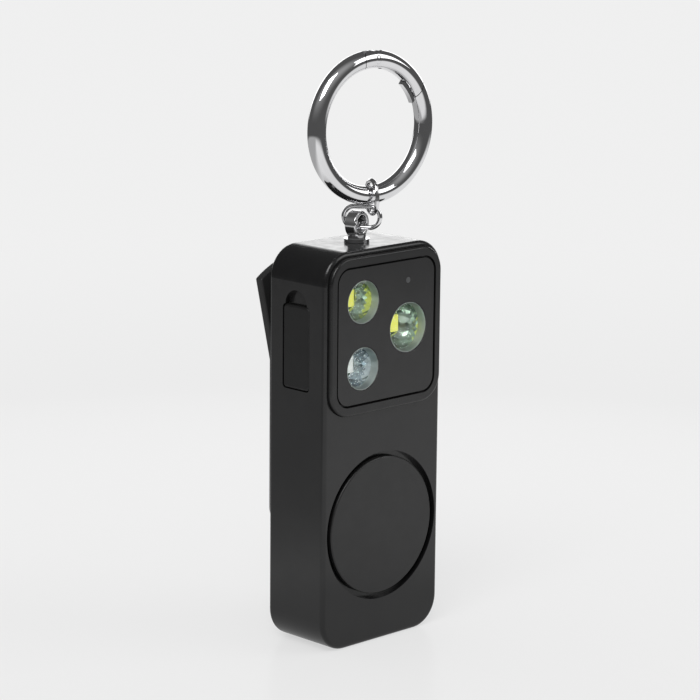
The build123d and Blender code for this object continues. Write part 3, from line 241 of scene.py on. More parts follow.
@dataclass(frozen=True)
class Finish:
    """One surface finish, made of nodes.

    Args:
        name: Name of the material.
        colour: Main colour, linear.
        second: Colour that the main one drifts to in patches.
        roughness: Middle roughness.
        spread: How far the roughness drifts either way.
        metallic: 1 for bare metal.
        grain: How the surface is broken up.
        grain_scale: Size of the grain as a noise scale, per metre.
        grain_height: Height of the grain.
        transmission: 1 for clear plastic.
        ior: Index of refraction.
        coat: Weight of a clear coat.
        haze: Share of the light that clear plastic bends on its way.
        painted_glow: Strength of a painted glow, emission in the second colour that brightens a phosphor
            which no current lights.
    """

    name: str
    colour: Colour
    second: Colour
    roughness: float
    spread: float = 0.04
    metallic: float = 0.0
    grain: Grain = Grain.EVEN
    grain_scale: float = 3200.0
    grain_height: float = 0.006 * MM
    transmission: float = 0.0
    ior: float = 1.5
    coat: float = 0.0
    haze: float = 0.0
    painted_glow: float = 0.0

    def build(self) -> bpy.types.Material:
        """Make the material.

        Returns:
            The material, ready to be put in a slot.
        """
        material = bpy.data.materials.new(self.name)
        material.use_nodes = True
        wiring = Wiring(material.node_tree)
        shader = material.node_tree.nodes["Principled BSDF"]
        wiring.join(self._tones(wiring), shader.inputs["Base Color"])
        wiring.join(self._smears(wiring), shader.inputs["Roughness"])
        wiring.join(self._relief(wiring), shader.inputs["Normal"])
        shader.inputs["Metallic"].default_value = self.metallic
        shader.inputs["IOR"].default_value = self.ior
        shader.inputs["Transmission Weight"].default_value = self.transmission
        shader.inputs["Coat Weight"].default_value = self.coat
        shader.inputs["Coat Roughness"].default_value = COAT_ROUGHNESS
        # Painted glow: emission in the second colour, set above zero only for the phosphors.
        shader.inputs["Emission Color"].default_value = (*self.second, 1.0)
        shader.inputs["Emission Strength"].default_value = self.painted_glow
        if self.grain is Grain.CLEAR:
            self._let_light_through(wiring, shader)
        return material

    def _let_light_through(self, wiring: Wiring, shader: Node) -> None:
        """Let most light pass thin clear plastic straight, bend the rest, and gloss its outer face.

        Args:
            wiring: The material's nodes.
            shader: The shader of the light that is bent.
        """
        dark = wiring.work_out("MAXIMUM", wiring.ray("Is Shadow Ray"), wiring.ray("Is Diffuse Ray"))
        straight = wiring.fade(dark, Fade(low=1.0 - self.haze, soft=False))
        open_air = wiring.node("ShaderNodeBsdfTransparent")
        open_air.inputs["Color"].default_value = (*self.second, 1.0)
        body = wiring.mix(straight, shader.outputs["BSDF"], open_air.outputs["BSDF"])
        face = wiring.node("ShaderNodeBsdfGlossy")
        face.inputs["Roughness"].default_value = self.roughness
        rise = wiring.node("ShaderNodeFresnel")
        rise.inputs["IOR"].default_value = self.ior
        from_inside = wiring.node("ShaderNodeNewGeometry").outputs["Backfacing"]
        seen = wiring.work_out("SUBTRACT", 1.0, wiring.work_out("MAXIMUM", dark, from_inside))
        share = wiring.work_out("MULTIPLY", rise.outputs["Fac"], seen)
        whole = wiring.mix(share, body, face.outputs["BSDF"])
        wiring.join(whole, wiring.tree.nodes["Material Output"].inputs["Surface"])

    def _noise(self, wiring: Wiring, scale: float, detail: float) -> Socket:
        """Add a noise that is fixed to the solid.

        Args:
            wiring: The material's nodes.
            scale: Noise scale, per metre.
            detail: Octaves of detail.

        Returns:
            The noise's socket.
        """
        place = wiring.place("Object")
        noise = wiring.node("ShaderNodeTexNoise")
        noise.inputs["Scale"].default_value = scale
        noise.inputs["Detail"].default_value = detail
        if self.grain is Grain.BRUSHED:
            stretch = wiring.node("ShaderNodeMapping")
            stretch.inputs["Scale"].default_value = BRUSH_STRETCH
            wiring.join(place, stretch.inputs["Vector"])
            place = stretch.outputs["Vector"]
        wiring.join(place, noise.inputs["Vector"])
        return noise.outputs["Fac"]

    def _tones(self, wiring: Wiring) -> Socket:
        """Let the colour drift between its two tones in soft patches.

        Args:
            wiring: The material's nodes.

        Returns:
            The colour's socket.
        """
        ramp = wiring.node("ShaderNodeValToRGB")
        for stop, position, tone in zip(ramp.color_ramp.elements, PATCH_SPAN, (self.colour, self.second)):
            stop.position = position
            stop.color = (*tone, 1.0)
        wiring.join(self._noise(wiring, PATCH_SCALE, PATCH_DETAIL), ramp.inputs["Fac"])
        return ramp.outputs["Color"]

    def _smears(self, wiring: Wiring) -> Socket:
        """Let the roughness drift a little, as handling and moulding leave it.

        Args:
            wiring: The material's nodes.

        Returns:
            The roughness's socket.
        """
        levels = (max(self.roughness - self.spread, 0.0), self.roughness + self.spread)
        return wiring.fade(
            self._noise(wiring, SMEAR_SCALE, SMEAR_DETAIL), Fade(*SMEAR_SPAN, *levels, soft=False)
        )

    def _relief(self, wiring: Wiring) -> Socket:
        """Add the fine relief of the surface.

        Args:
            wiring: The material's nodes.

        Returns:
            The socket of the surface's direction.
        """
        bump = wiring.node("ShaderNodeBump")
        bump.inputs["Strength"].default_value = 1.0
        bump.inputs["Distance"].default_value = self.grain_height
        wiring.join(self._noise(wiring, self.grain_scale, GRAIN_DETAIL), bump.inputs["Height"])
        return bump.outputs["Normal"]


HOUSING_PLASTIC = Finish("housing_plastic", (0.0078, 0.0078, 0.0081), (0.0098, 0.0098, 0.0100), 0.20)
DISC_PLASTIC = Finish("disc_plastic", (0.0092, 0.0092, 0.0094), (0.0112, 0.0112, 0.0114), 0.36)
CLIP_PLASTIC = Finish("clip_plastic", (0.0190, 0.0190, 0.0193), (0.0230, 0.0230, 0.0232), 0.38)
BUTTON_RUBBER = Finish("button_rubber", (0.0080, 0.0080, 0.0082), (0.0105, 0.0105, 0.0107), 0.42)
BEZEL_PLASTIC = Finish(
    "bezel_plastic", (0.0072, 0.0072, 0.0075), (0.0090, 0.0090, 0.0092), 0.30, grain_height=0.002 * MM
)
WINDOW_PANEL = Finish(
    "window_panel", (0.0085, 0.0085, 0.0088), (0.0105, 0.0105, 0.0107), 0.24, 0.03, grain_height=0.001 * MM
)
PORT_RUBBER = Finish(
    "port_rubber", (0.0045, 0.0045, 0.0047), (0.0062, 0.0062, 0.0063), 0.52, grain_height=0.008 * MM
)
SOCKET_PLASTIC = Finish("pin_socket_nylon", (0.010, 0.010, 0.010), (0.014, 0.014, 0.014), 0.45)
MOULDED_BLACK = Finish("black_resin", (0.012, 0.012, 0.012), (0.020, 0.020, 0.020), 0.5)
BOARD_MASK = Finish("board_mask", (0.010, 0.085, 0.030), (0.014, 0.110, 0.042), 0.28, coat=0.5)
CELL_FOIL = Finish(
    "pouch_foil", (0.55, 0.56, 0.58), (0.66, 0.67, 0.68), 0.35, 0.08, 1.0, Grain.BRUSHED, 900.0, 0.01 * MM
)
TAPE_FABRIC = Finish("tape_fabric", (0.62, 0.60, 0.55), (0.72, 0.70, 0.66), 0.8, grain_height=0.02 * MM)
SPRING_STEEL = Finish(
    "spring_steel", (0.42, 0.42, 0.43), (0.52, 0.52, 0.53), 0.28, 0.06, 1.0, Grain.BRUSHED, 1500.0
)
CONTACT_BRASS = Finish(
    "leaf_brass", (0.70, 0.52, 0.24), (0.78, 0.60, 0.30), 0.28, 0.06, 1.0, Grain.BRUSHED, 1400.0
)
SOLDER_TIN = Finish(
    "solder_tin", (0.60, 0.61, 0.62), (0.70, 0.70, 0.71), 0.3, 0.08, 1.0, grain_scale=900.0
)
PART_TAN = Finish("part_tan", (0.36, 0.25, 0.14), (0.44, 0.32, 0.20), 0.5)
CERAMIC_WHITE = Finish("ceramic_white", (0.72, 0.70, 0.66), (0.80, 0.79, 0.76), 0.55)
BRIGHT_CHROME = Finish(
    "mirror_chrome", (0.76, 0.76, 0.77), (0.80, 0.80, 0.81), 0.045, 0.02, 1.0, grain_scale=260.0,
    grain_height=0.0006 * MM,
)
WARM_CUP = Finish(
    "warm_cup", (0.46, 0.56, 0.48), (0.68, 0.76, 0.69), 0.13, 0.04, 1.0, grain_scale=900.0,
    grain_height=0.01 * MM,
)
COLD_CUP = Finish(
    "cold_cup", (0.48, 0.54, 0.58), (0.70, 0.76, 0.80), 0.13, 0.04, 1.0, grain_scale=900.0,
    grain_height=0.01 * MM,
)
SATIN_RIM = Finish(
    "satin_rim", (0.44, 0.48, 0.46), (0.54, 0.58, 0.56), 0.36, 0.08, 1.0, grain_scale=1200.0,
    grain_height=0.004 * MM,
)
CLEAR_LENS = Finish(
    "lens_acrylic", (0.93, 0.97, 0.96), (0.97, 0.99, 0.98), 0.03, 0.015, grain=Grain.CLEAR, grain_scale=300.0,
    grain_height=0.0008 * MM, transmission=1.0, ior=1.49, haze=0.03,
)
SMOKED_PIPE = Finish(
    "smoked_pipe", (0.060, 0.062, 0.064), (0.075, 0.077, 0.080), 0.2, 0.03, grain_scale=2000.0,
    grain_height=0.001 * MM,
)
# Both phosphors carry a painted glow that brightens chips which no current lights.
PHOSPHOR_YELLOW = Finish("phosphor_yellow", (0.88, 0.82, 0.12), (0.92, 0.90, 0.22), 0.35, painted_glow=0.45)
PHOSPHOR_WHITE = Finish("phosphor_white", (0.84, 0.85, 0.84), (0.90, 0.90, 0.89), 0.35, painted_glow=0.34)


def circle(around: int) -> Profile:
    """Give the cosine and sine of even steps round a circle."""
    turns = [2 * math.pi * step / around for step in range(around)]
    return [(math.cos(turn), math.sin(turn)) for turn in turns]


class Mould:
    """A mesh that is made point by point."""

    def __init__(self) -> None:
        """Begin with an empty mesh."""
        self.shape = bmesh.new()

    def ring(self, places: list[Place | Vector]) -> Ring:
        """Add points, in order."""
        return [self.shape.verts.new(place) for place in places]

    def face(self, *corners: bmesh.types.BMVert) -> bmesh.types.BMFace:
        """Add a face between points."""
        return self.shape.faces.new(corners)

    def bridge(self, rings: list[Ring], closed: bool = False) -> None:
        """Join rings of points with faces.

        Args:
            rings: The rings, in order, where a ring of one point is a tip.
            closed: Whether the last ring joins the first.
        """
        around = max(len(ring) for ring in rings)
        pairs = list(zip(rings, rings[1:]))
        if closed:
            pairs.append((rings[-1], rings[0]))
        for low, high in pairs:
            for step in range(around):
                after = (step + 1) % around
                lower = (low[step % len(low)], low[after % len(low)])
                upper = (high[after % len(high)], high[step % len(high)])
                self.face(*dict.fromkeys(lower + upper))

    def turn(self, profile: Profile, frame: Matrix, around: int, closed: bool = False) -> None:
        """Turn a profile round an axis, as on a lathe.

        Args:
            profile: Radius and place along the axis of each point.
            frame: Puts the axis, local Z, in the scene.
            around: How many steps the turn has.
            closed: Whether the last point joins the first.
        """
        rings = []
        for radius, along in profile:
            spokes = circle(around) if radius > 0.0 else [(0.0, 0.0)]
            rings.append(self.ring([frame @ Vector((radius * x, radius * y, along)) for x, y in spokes]))
        self.bridge(rings, closed)

    def block(self, low: Place, high: Place, edge: float) -> None:
        """Add a small moulded block whose edges are broken.

        Args:
            low: Its lowest corner.
            high: Its highest corner.
            edge: Width of its broken edges.
        """
        corners = self.ring(list(product(*zip(low, high))))
        sides = ((0, 1, 3, 2), (4, 6, 7, 5), (0, 4, 5, 1), (2, 3, 7, 6), (0, 2, 6, 4), (1, 5, 7, 3))
        faces = [self.face(*(corners[index] for index in side)) for side in sides]
        rims = list(dict.fromkeys(rim for face in faces for rim in face.edges))
        bmesh.ops.bevel(self.shape, geom=rims, offset=edge, segments=2, affect="EDGES", profile=0.5)

    def draw_wire(self, points: list[Vector], radius: float, around: int) -> None:
        """Draw round wire along a line of points, and break the edges of its two ends.

        Args:
            points: The line, in order.
            radius: Radius of the wire.
            around: How many sides its section has.
        """
        last = len(points) - 1
        whole = (0.0, 1.0)
        ends = {
            0: [(-WIRE_END_SHARE, WIRE_TIP_SHARE), whole],
            last: [whole, (WIRE_END_SHARE, WIRE_TIP_SHARE)],
        }
        up = (points[1] - points[0]).orthogonal().normalized()
        rings = []
        for index, point in enumerate(points):
            along = (points[min(index + 1, last)] - points[max(index - 1, 0)]).normalized()
            up = (up - along * up.dot(along)).normalized()
            side = along.cross(up)
            for shift, share in ends.get(index, [whole]):
                middle = point + along * shift * radius
                spokes = [(up * x + side * y) * radius * share for x, y in circle(around)]
                rings.append(self.ring([middle + spoke for spoke in spokes]))
        self.bridge(rings)
        self.face(*rings[0])
        self.face(*rings[-1])

    def weld(self) -> None:
        """Join the points that lie on each other."""
        bmesh.ops.remove_doubles(self.shape, verts=self.shape.verts[:], dist=MERGE_REACH)

    def keep(self, name: str, smooth: bool = True) -> Piece:
        """Turn the finished mesh into an object of the scene.

        Args:
            name: Name of the object.
            smooth: Whether its faces are shaded smooth where they meet at a low angle.

        Returns:
            The new object.
        """
        bmesh.ops.recalc_face_normals(self.shape, faces=self.shape.faces)
        mesh = bpy.data.meshes.new(name)
        self.shape.to_mesh(mesh)
        self.shape.free()
        piece = bpy.data.objects.new(name, mesh)
        bpy.context.scene.collection.objects.link(piece)
        if smooth:
            mesh.shade_smooth()
            mesh.set_sharp_from_angle(angle=math.radians(SHARP_ANGLE))
        return piece


def across(axis: Vector, centre: Vector) -> Matrix:
    """Give the frame whose local Z is an axis through a centre."""
    return Matrix.Translation(centre) @ axis.to_track_quat("Z", "Y").to_matrix().to_4x4()


class Bench:
    """The bench on which solids get their finish and new pieces are fitted."""

    def __init__(self, nodes: dict[str, Piece]) -> None:
        """Keep the frame's solids by name, and the finishes that are made so far."""
        self.nodes = nodes
        self.made: dict[str, bpy.types.Material] = {}

    def _material(self, finish: Finish) -> bpy.types.Material:
        """Give a finish's material, which is made once.

        Args:
            finish: The finish.

        Returns:
            Its material.
        """
        if finish.name not in self.made:
            self.made[finish.name] = finish.build()
        return self.made[finish.name]

    def dress(self, finish: Finish, *names: str) -> None:
        """Give solids of the frame a finish.

        Args:
            finish: The finish to give.
            names: The solids' node names.
        """
        material = self._material(finish)
        for name in names:
            for slot in self.nodes[name].material_slots:
                slot.material = material
            LOG.info("%s has the finish %s", name, finish.name)

    def fit(self, piece: Piece, finish: Finish, body: str, slot: str, *stands_for: str) -> None:
        """Fit a piece of the scene's own to a body of the frame.

        Args:
            piece: The piece.
            finish: Its finish.
            body: The body that it moves with.
            slot: The record's material slot that it belongs to; not used.
            stands_for: Solids of the frame that it stands in place of.
        """
        piece.data.materials.append(self._material(finish))
        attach(piece, body)
        if stands_for:
            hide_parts(*stands_for)
        LOG.info("%s is fitted to %s", piece.name, body)

    def stretch(
        self,
        piece: Piece,
        finish: Finish,
        ends: tuple[tuple[str, Vector], tuple[str, Vector]],
        slot: str,
        *stands_for: str,
    ) -> None:
        """Give a springy piece that spans two bodies its finish, fix its shape where it lies, and hide the
        solids it stands in place of.

        Args:
            piece: The piece.
            finish: Its finish.
            ends: The two bodies, each with the point where the piece begins to follow it; not used.
            slot: The record's material slot that it belongs to; not used.
            stands_for: Solids of the frame that it stands in place of.
        """
        piece.data.materials.append(self._material(finish))
        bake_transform(piece)
        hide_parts(*stands_for)


@dataclass
class Assembly:
    """One sub-assembly of the alarm.

    Args:
        bench: Where its solids get their finish and its own pieces are fitted.
    """

    bench: Bench


@dataclass
class Housing(Assembly):
    """The shell, the front cover and all that is fixed to them.

    Args:
        screw_radius: Radius of the screws' shanks.
        tip_share: Radius of their flat tips, as a share of the shank's.
        thread_pitch: Pitch of the thread.
        thread_depth: Depth of the thread.
        head: Radius and depth of each point of a head's outline, from its underside to its dome.
        recess_arm: Half the length of the cross recess.
        recess_half: Half the width of its arms.
        recess_depth: Its depth.
        recess_floor_share: Size of its floor, as a share of its mouth.
        around: Steps round a screw.
    """

    screw_radius: float = 0.9 * MM
    tip_share: float = 0.6
    thread_pitch: float = 0.5 * MM
    thread_depth: float = 0.12 * MM
    head: tuple[tuple[float, float], ...] = (
        (1.536 * MM, 1.1 * MM),
        (1.6 * MM, 0.88 * MM),
        (1.6 * MM, 0.216 * MM),
        (1.488 * MM, 0.12 * MM),
    )
    recess_arm: float = 0.85 * MM
    recess_half: float = 0.2 * MM
    recess_depth: float = 0.55 * MM
    recess_floor_share: float = 0.72
    around: int = 24

    def build(self) -> None:
        """Dress the housing's pieces and make its screws."""
        self.bench.dress(HOUSING_PLASTIC, "front_cover", "main_shell")
        self.bench.dress(PORT_RUBBER, "port_cover")
        self.bench.dress(SPRING_STEEL, "port_shell", "housing_screws")
        self.bench.dress(MOULDED_BLACK, "port_tongue", "torch_switch")
        self.bench.fit(self.screws(), SPRING_STEEL, "housing", "zinc_steel", "housing_screws")

    def screws(self) -> Piece:
        """Make the four cross-recessed screws in the back.

        Returns:
            One object with all four.
        """
        low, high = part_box("housing_screws")
        radius = max(radius for radius, _ in self.head)
        mould = Mould()
        for x in (low.x + radius, high.x - radius):
            for z in (low.z + radius, high.z - radius):
                self._screw(mould, Vector((x, high.y, z)), high.y - low.y)
        return mould.keep("cross_head_screws")

    def _screw(self, mould: Mould, top: Vector, length: float) -> None:
        """Add one screw that points forward.

        Args:
            mould: The mesh that it is added to.
            top: Middle of its head.
            length: Its whole length.
        """
        frame = Matrix.Translation(top) @ Matrix.Rotation(math.radians(-90.0), 4, "X")
        tip = -length
        profile = [(0.0, tip), (self.screw_radius * self.tip_share, tip)]
        underside = self.head[0][1]
        for turn in range(1, int((length - underside) / self.thread_pitch)):
            place = tip + turn * self.thread_pitch
            profile.append((self.screw_radius - self.thread_depth, place - self.thread_pitch / 2))
            profile.append((self.screw_radius, place))
        profile.append((self.screw_radius, -underside))
        profile += [(radius, -depth) for radius, depth in self.head]
        mould.turn(profile, frame, self.around)
        self._recess(mould, frame)

    def _recess(self, mould: Mould, frame: Matrix) -> None:
        """Close a head with a face that has a cross sunk into it.

        Args:
            mould: The mesh that the face is added to.
            frame: Puts the head in the scene, with its axis as local Z.
        """
        rim, crown = self.head[-1]
        outer = mould.ring([frame @ Vector((rim * x, rim * y, -crown)) for x, y in circle(self.around)])
        half, arm = self.recess_half, self.recess_arm
        quarter = [(arm, -half), (arm, half), (half, half)]
        cross = []
        for _ in range(4):
            cross += quarter
            quarter = [(-y, x) for x, y in quarter]
        share = self.recess_floor_share
        mouth = mould.ring([frame @ Vector((x, y, 0.0)) for x, y in cross])
        floor = mould.ring([frame @ Vector((share * x, share * y, -self.recess_depth)) for x, y in cross])
        rims = []
        for ring in (outer, mouth):
            rims += [mould.shape.edges.new(ends) for ends in zip(ring, ring[1:] + ring[:1])]
        bmesh.ops.triangle_fill(mould.shape, edges=rims, use_beauty=True)
        mould.bridge([mouth, floor])
        mould.face(*floor)


@dataclass
class TorchButton(Assembly):
    """The button in the right side, with grooves across its cap, its flange and its stem.

    Args:
        straight: Half the length of the cap's straight sides.
        round_end: Radius of the cap's round ends.
        edge: Radius of the cap's rounded edge.
        edge_steps: Steps over that edge.
        inner_rings: Rings of points from that edge to the middle of the cap.
        points: Points along each side and round each end.
        grooves: Grooves across the cap.
        pitch: From one groove to the next.
        groove_depth: Depth of a groove.
        flange: How far the flange stands out round the cap.
        flange_depth: Thickness of the flange.
        seat: Gap between the flange and the housing's wall.
        travel: How far the stem stands off from the flange.
        stem_radius: Radius of the stem.
        stem_edge_share: Where the stem's edge is broken, as a share of its length.
        stem_tip_share: Radius of its tip, as a share of the stem's.
        around: Steps round the stem.
    """

    straight: float = 2.2 * MM
    round_end: float = 2.3 * MM
    edge: float = 0.45 * MM
    edge_steps: int = 6
    inner_rings: int = 12
    points: int = 44
    grooves: int = 5
    pitch: float = 1.1 * MM
    groove_depth: float = 0.28 * MM
    flange: float = 0.7 * MM
    flange_depth: float = 0.6 * MM
    seat: float = 0.03 * MM
    travel: float = 0.4 * MM
    stem_radius: float = 0.9 * MM
    stem_edge_share: float = 0.7
    stem_tip_share: float = 0.85
    around: int = 32

    def build(self) -> None:
        """Make the button and dress it."""
        self.bench.dress(BUTTON_RUBBER, "torch_button")
        self.bench.fit(self.button(), BUTTON_RUBBER, "torch_button", "black_plastic", "torch_button")

    def button(self) -> Piece:
        """Make the cap with its flange and stem.

        Returns:
            The button.
        """
        low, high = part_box("torch_button")
        centre = (low + high) / 2
        wall = low.x + self.travel + self.flange_depth - self.seat
        back = wall - self.flange_depth
        sections = [(-self.flange, back), (-self.flange, wall), (0.0, wall)]
        for step in range(self.edge_steps + 1):
            turn = math.radians(90.0 * step / self.edge_steps)
            sections.append((self.edge * (1.0 - math.cos(turn)), high.x - self.edge * (1.0 - math.sin(turn))))
        for step in range(1, self.inner_rings + 1):
            sections.append((self.edge + (self.round_end - self.edge) * step / self.inner_rings, high.x))
        mould = Mould()
        rings = [self._ring(mould, centre, inset, face) for inset, face in sections]
        mould.bridge(rings)
        mould.face(*rings[0])
        mould.weld()
        reach = back - low.x
        stem = [
            (0.0, 0.0),
            (self.stem_radius, 0.0),
            (self.stem_radius, reach * self.stem_edge_share),
            (self.stem_radius * self.stem_tip_share, reach),
            (0.0, reach),
        ]
        frame = across(Vector((-1.0, 0.0, 0.0)), Vector((back, centre.y, centre.z)))
        mould.turn(stem, frame, self.around)
        return mould.keep("grooved_torch_button")

    def _ring(self, mould: Mould, centre: Vector, inset: float, face: float) -> Ring:
        """Add one ring of points that follows the cap's outline.

        Args:
            mould: The mesh that the points are added to.
            centre: Middle of the button.
            inset: How far the ring lies in from the outline.
            face: X of the ring where no groove is cut.

        Returns:
            The ring's points.
        """
        radius = self.round_end - inset
        outline = []
        for way in (1.0, -1.0):
            for step in range(self.points):
                outline.append((way * radius, way * self.straight * (2.0 * step / self.points - 1.0)))
            for step in range(self.points):
                turn = math.pi * step / self.points
                height = self.straight + radius * math.sin(turn)
                outline.append((way * radius * math.cos(turn), way * height))
        places = [(face - self._groove(inset, z), centre.y + y, centre.z + z) for y, z in outline]
        return mould.ring(places)

    def _groove(self, inset: float, height: float) -> float:
        """Tell how deep the cap is cut, less towards its rim.

        Args:
            inset: How far in from the outline.
            height: How far above the middle of the cap.

        Returns:
            The depth.
        """
        if inset <= self.edge or abs(height) >= self.grooves * self.pitch / 2:
            return 0.0
        fade = min((inset - self.edge) / self.edge, 1.0)
        phase = 2 * math.pi * (height / self.pitch + self.grooves / 2)
        return self.groove_depth * fade * (0.5 - 0.5 * math.cos(phase))


@dataclass(frozen=True)
class Lamp:
    """One lamp of the window.

    Args:
        place: Its place in the window.
        phosphor: Finish of its chip.
        cup: Finish of its cup.
    """

    place: str
    phosphor: Finish
    cup: Finish


@dataclass
class LampUnit(Assembly):
    """The framed window with its three lamps and the indicator.

    Args:
        lamps: The three lamps.
        neck: Radius of a cup's opening over its chip.
        skin: Thickness of a cup.
        facets: Facets round a cup.
        tiers: Facets down a cup.
        swell: How far a cup's side bulges out from a straight cone.
        brim_width: From a cup's outer edge in to its mouth.
        brim_back_share: Where the brim begins behind, as a share of a cup's depth.
        brim_front_share: Where it ends in front, as a share of that depth.
        brim_step: Width of the step in front of the brim.
        mouth_edge: Width of a cup's front edge.
        lens_flange: How far a lens's hidden flange stands out round its face.
        fit: Gap between a lens's face and its rim.
        rim_skin: Thickness of the bright rim round a lens.
        rim_edge: Width of the rim's broken edge.
        rim_sink: How far that rim lies under the window's face.
        around: Steps round a rim.
    """

    lamps: tuple[Lamp, ...] = (
        Lamp("upper", PHOSPHOR_YELLOW, WARM_CUP),
        Lamp("middle", PHOSPHOR_YELLOW, WARM_CUP),
        Lamp("lower", PHOSPHOR_WHITE, COLD_CUP),
    )
    neck: float = 2.6 * MM
    skin: float = 0.45 * MM
    facets: int = 22
    tiers: int = 6
    swell: float = 0.45 * MM
    brim_width: float = 0.99 * MM
    brim_back_share: float = 0.72
    brim_front_share: float = 0.86
    brim_step: float = 0.54 * MM
    mouth_edge: float = 0.18 * MM
    lens_flange: float = 0.5 * MM
    fit: float = 0.02 * MM
    rim_skin: float = 0.16 * MM
    rim_edge: float = 0.05 * MM
    rim_sink: float = 0.12 * MM
    around: int = 72

    def build(self) -> None:
        """Dress the lamp unit's pieces and make its cups and rims."""
        self.bench.dress(BEZEL_PLASTIC, "light_bezel")
        self.bench.dress(WINDOW_PANEL, "light_window")
        self.bench.dress(SMOKED_PIPE, "indicator_pipe")
        self.bench.dress(PHOSPHOR_WHITE, "indicator_led")
        for lamp in self.lamps:
            self.bench.dress(CLEAR_LENS, f"lens_{lamp.place}")
            self.bench.dress(lamp.phosphor, f"led_{lamp.place}")
            self.bench.fit(self.cup(lamp.place), lamp.cup, "housing", "bright_cup", f"reflector_{lamp.place}")
            self.bench.fit(self.rim(lamp.place), SATIN_RIM, "housing", "bright_cup")

    def rim(self, place: str) -> Piece:
        """Make the thin bright rim that lines a lens from its face to its cup.

        Args:
            place: Which lamp it is.

        Returns:
            The rim.
        """
        window_low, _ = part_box("light_window")
        cup_low, cup_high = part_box(f"reflector_{place}")
        lens_low, lens_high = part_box(f"lens_{place}")
        centre = (cup_low + cup_high) / 2
        outer = (lens_high.x - lens_low.x) / 2 - self.lens_flange - self.fit
        mouth = (cup_high.x - cup_low.x) / 2 - self.brim_width
        start = window_low.y + self.rim_sink
        deep = cup_low.y - start
        profile = [
            (mouth, deep),
            (outer, deep),
            (outer, self.rim_edge),
            (outer - self.rim_edge, 0.0),
            (outer - self.rim_skin, 0.0),
        ]
        frame = across(Vector((0.0, 1.0, 0.0)), Vector((centre.x, start, centre.z)))
        mould = Mould()
        mould.turn(profile, frame, self.around, closed=True)
        return mould.keep(f"lens_rim_{place}")

    def cup(self, place: str) -> Piece:
        """Make the faceted cup of one lamp.

        Args:
            place: Which lamp it is.

        Returns:
            The cup.
        """
        low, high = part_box(f"reflector_{place}")
        centre = (low + high) / 2
        brim = (high.x - low.x) / 2
        depth = high.y - low.y
        mouth = brim - self.brim_width
        mould = Mould()
        tiers = []
        for tier in range(self.tiers + 1):
            share = tier / self.tiers
            radius = mouth + (self.neck - mouth) * share + self.swell * math.sin(math.pi * share)
            lean = math.pi / self.facets * (tier % 2)
            turns = [2 * math.pi * step / self.facets + lean for step in range(self.facets)]
            spokes = [Vector((radius * math.cos(turn), 0.0, radius * math.sin(turn))) for turn in turns]
            middle = Vector((centre.x, low.y + depth * share, centre.z))
            tiers.append(mould.ring([middle + spoke for spoke in spokes]))
        for tier, (upper, lower) in enumerate(zip(tiers, tiers[1:])):
            for step in range(self.facets):
                after = (step + 1) % self.facets
                if tier % 2 == 0:
                    mould.face(upper[step], upper[after], lower[step])
                    mould.face(upper[after], lower[after], lower[step])
                else:
                    mould.face(upper[step], upper[after], lower[after])
                    mould.face(upper[step], lower[after], lower[step])
        outside = [
            (self.neck, 0.0),
            (self.neck + self.skin, 0.0),
            (brim, depth * self.brim_back_share),
            (brim, depth * self.brim_front_share),
            (brim - self.brim_step, depth * self.brim_front_share),
            (mouth + self.mouth_edge, depth),
            (mouth, depth),
        ]
        frame = across(Vector((0.0, -1.0, 0.0)), Vector((centre.x, high.y, centre.z)))
        mould.turn(outside, frame, self.facets)
        mould.weld()
        return mould.keep(f"faceted_cup_{place}", smooth=False)


@dataclass
class Sounder(Assembly):
    """The round cover on the front and the capsule behind it.

    Args:
        cover: Finish of the cover.
    """

    cover: Finish = DISC_PLASTIC

    def build(self) -> None:
        """Dress the sounder's pieces."""
        self.bench.dress(self.cover, "sounder_cover")
        self.bench.dress(MOULDED_BLACK, "sounder_capsule")
        self.bench.dress(CONTACT_BRASS, "piezo_plate")
        self.bench.dress(CERAMIC_WHITE, "piezo_ceramic")


class Package(Enum):
    """Width, height and thickness of the small pieces on the board."""

    SMALL = (1.6 * MM, 0.8 * MM, 0.5 * MM)
    MEDIUM = (2.0 * MM, 1.2 * MM, 0.7 * MM)
    LONG = (3.2 * MM, 1.6 * MM, 1.0 * MM)
    SQUARE = (3.0 * MM, 3.0 * MM, 1.0 * MM)


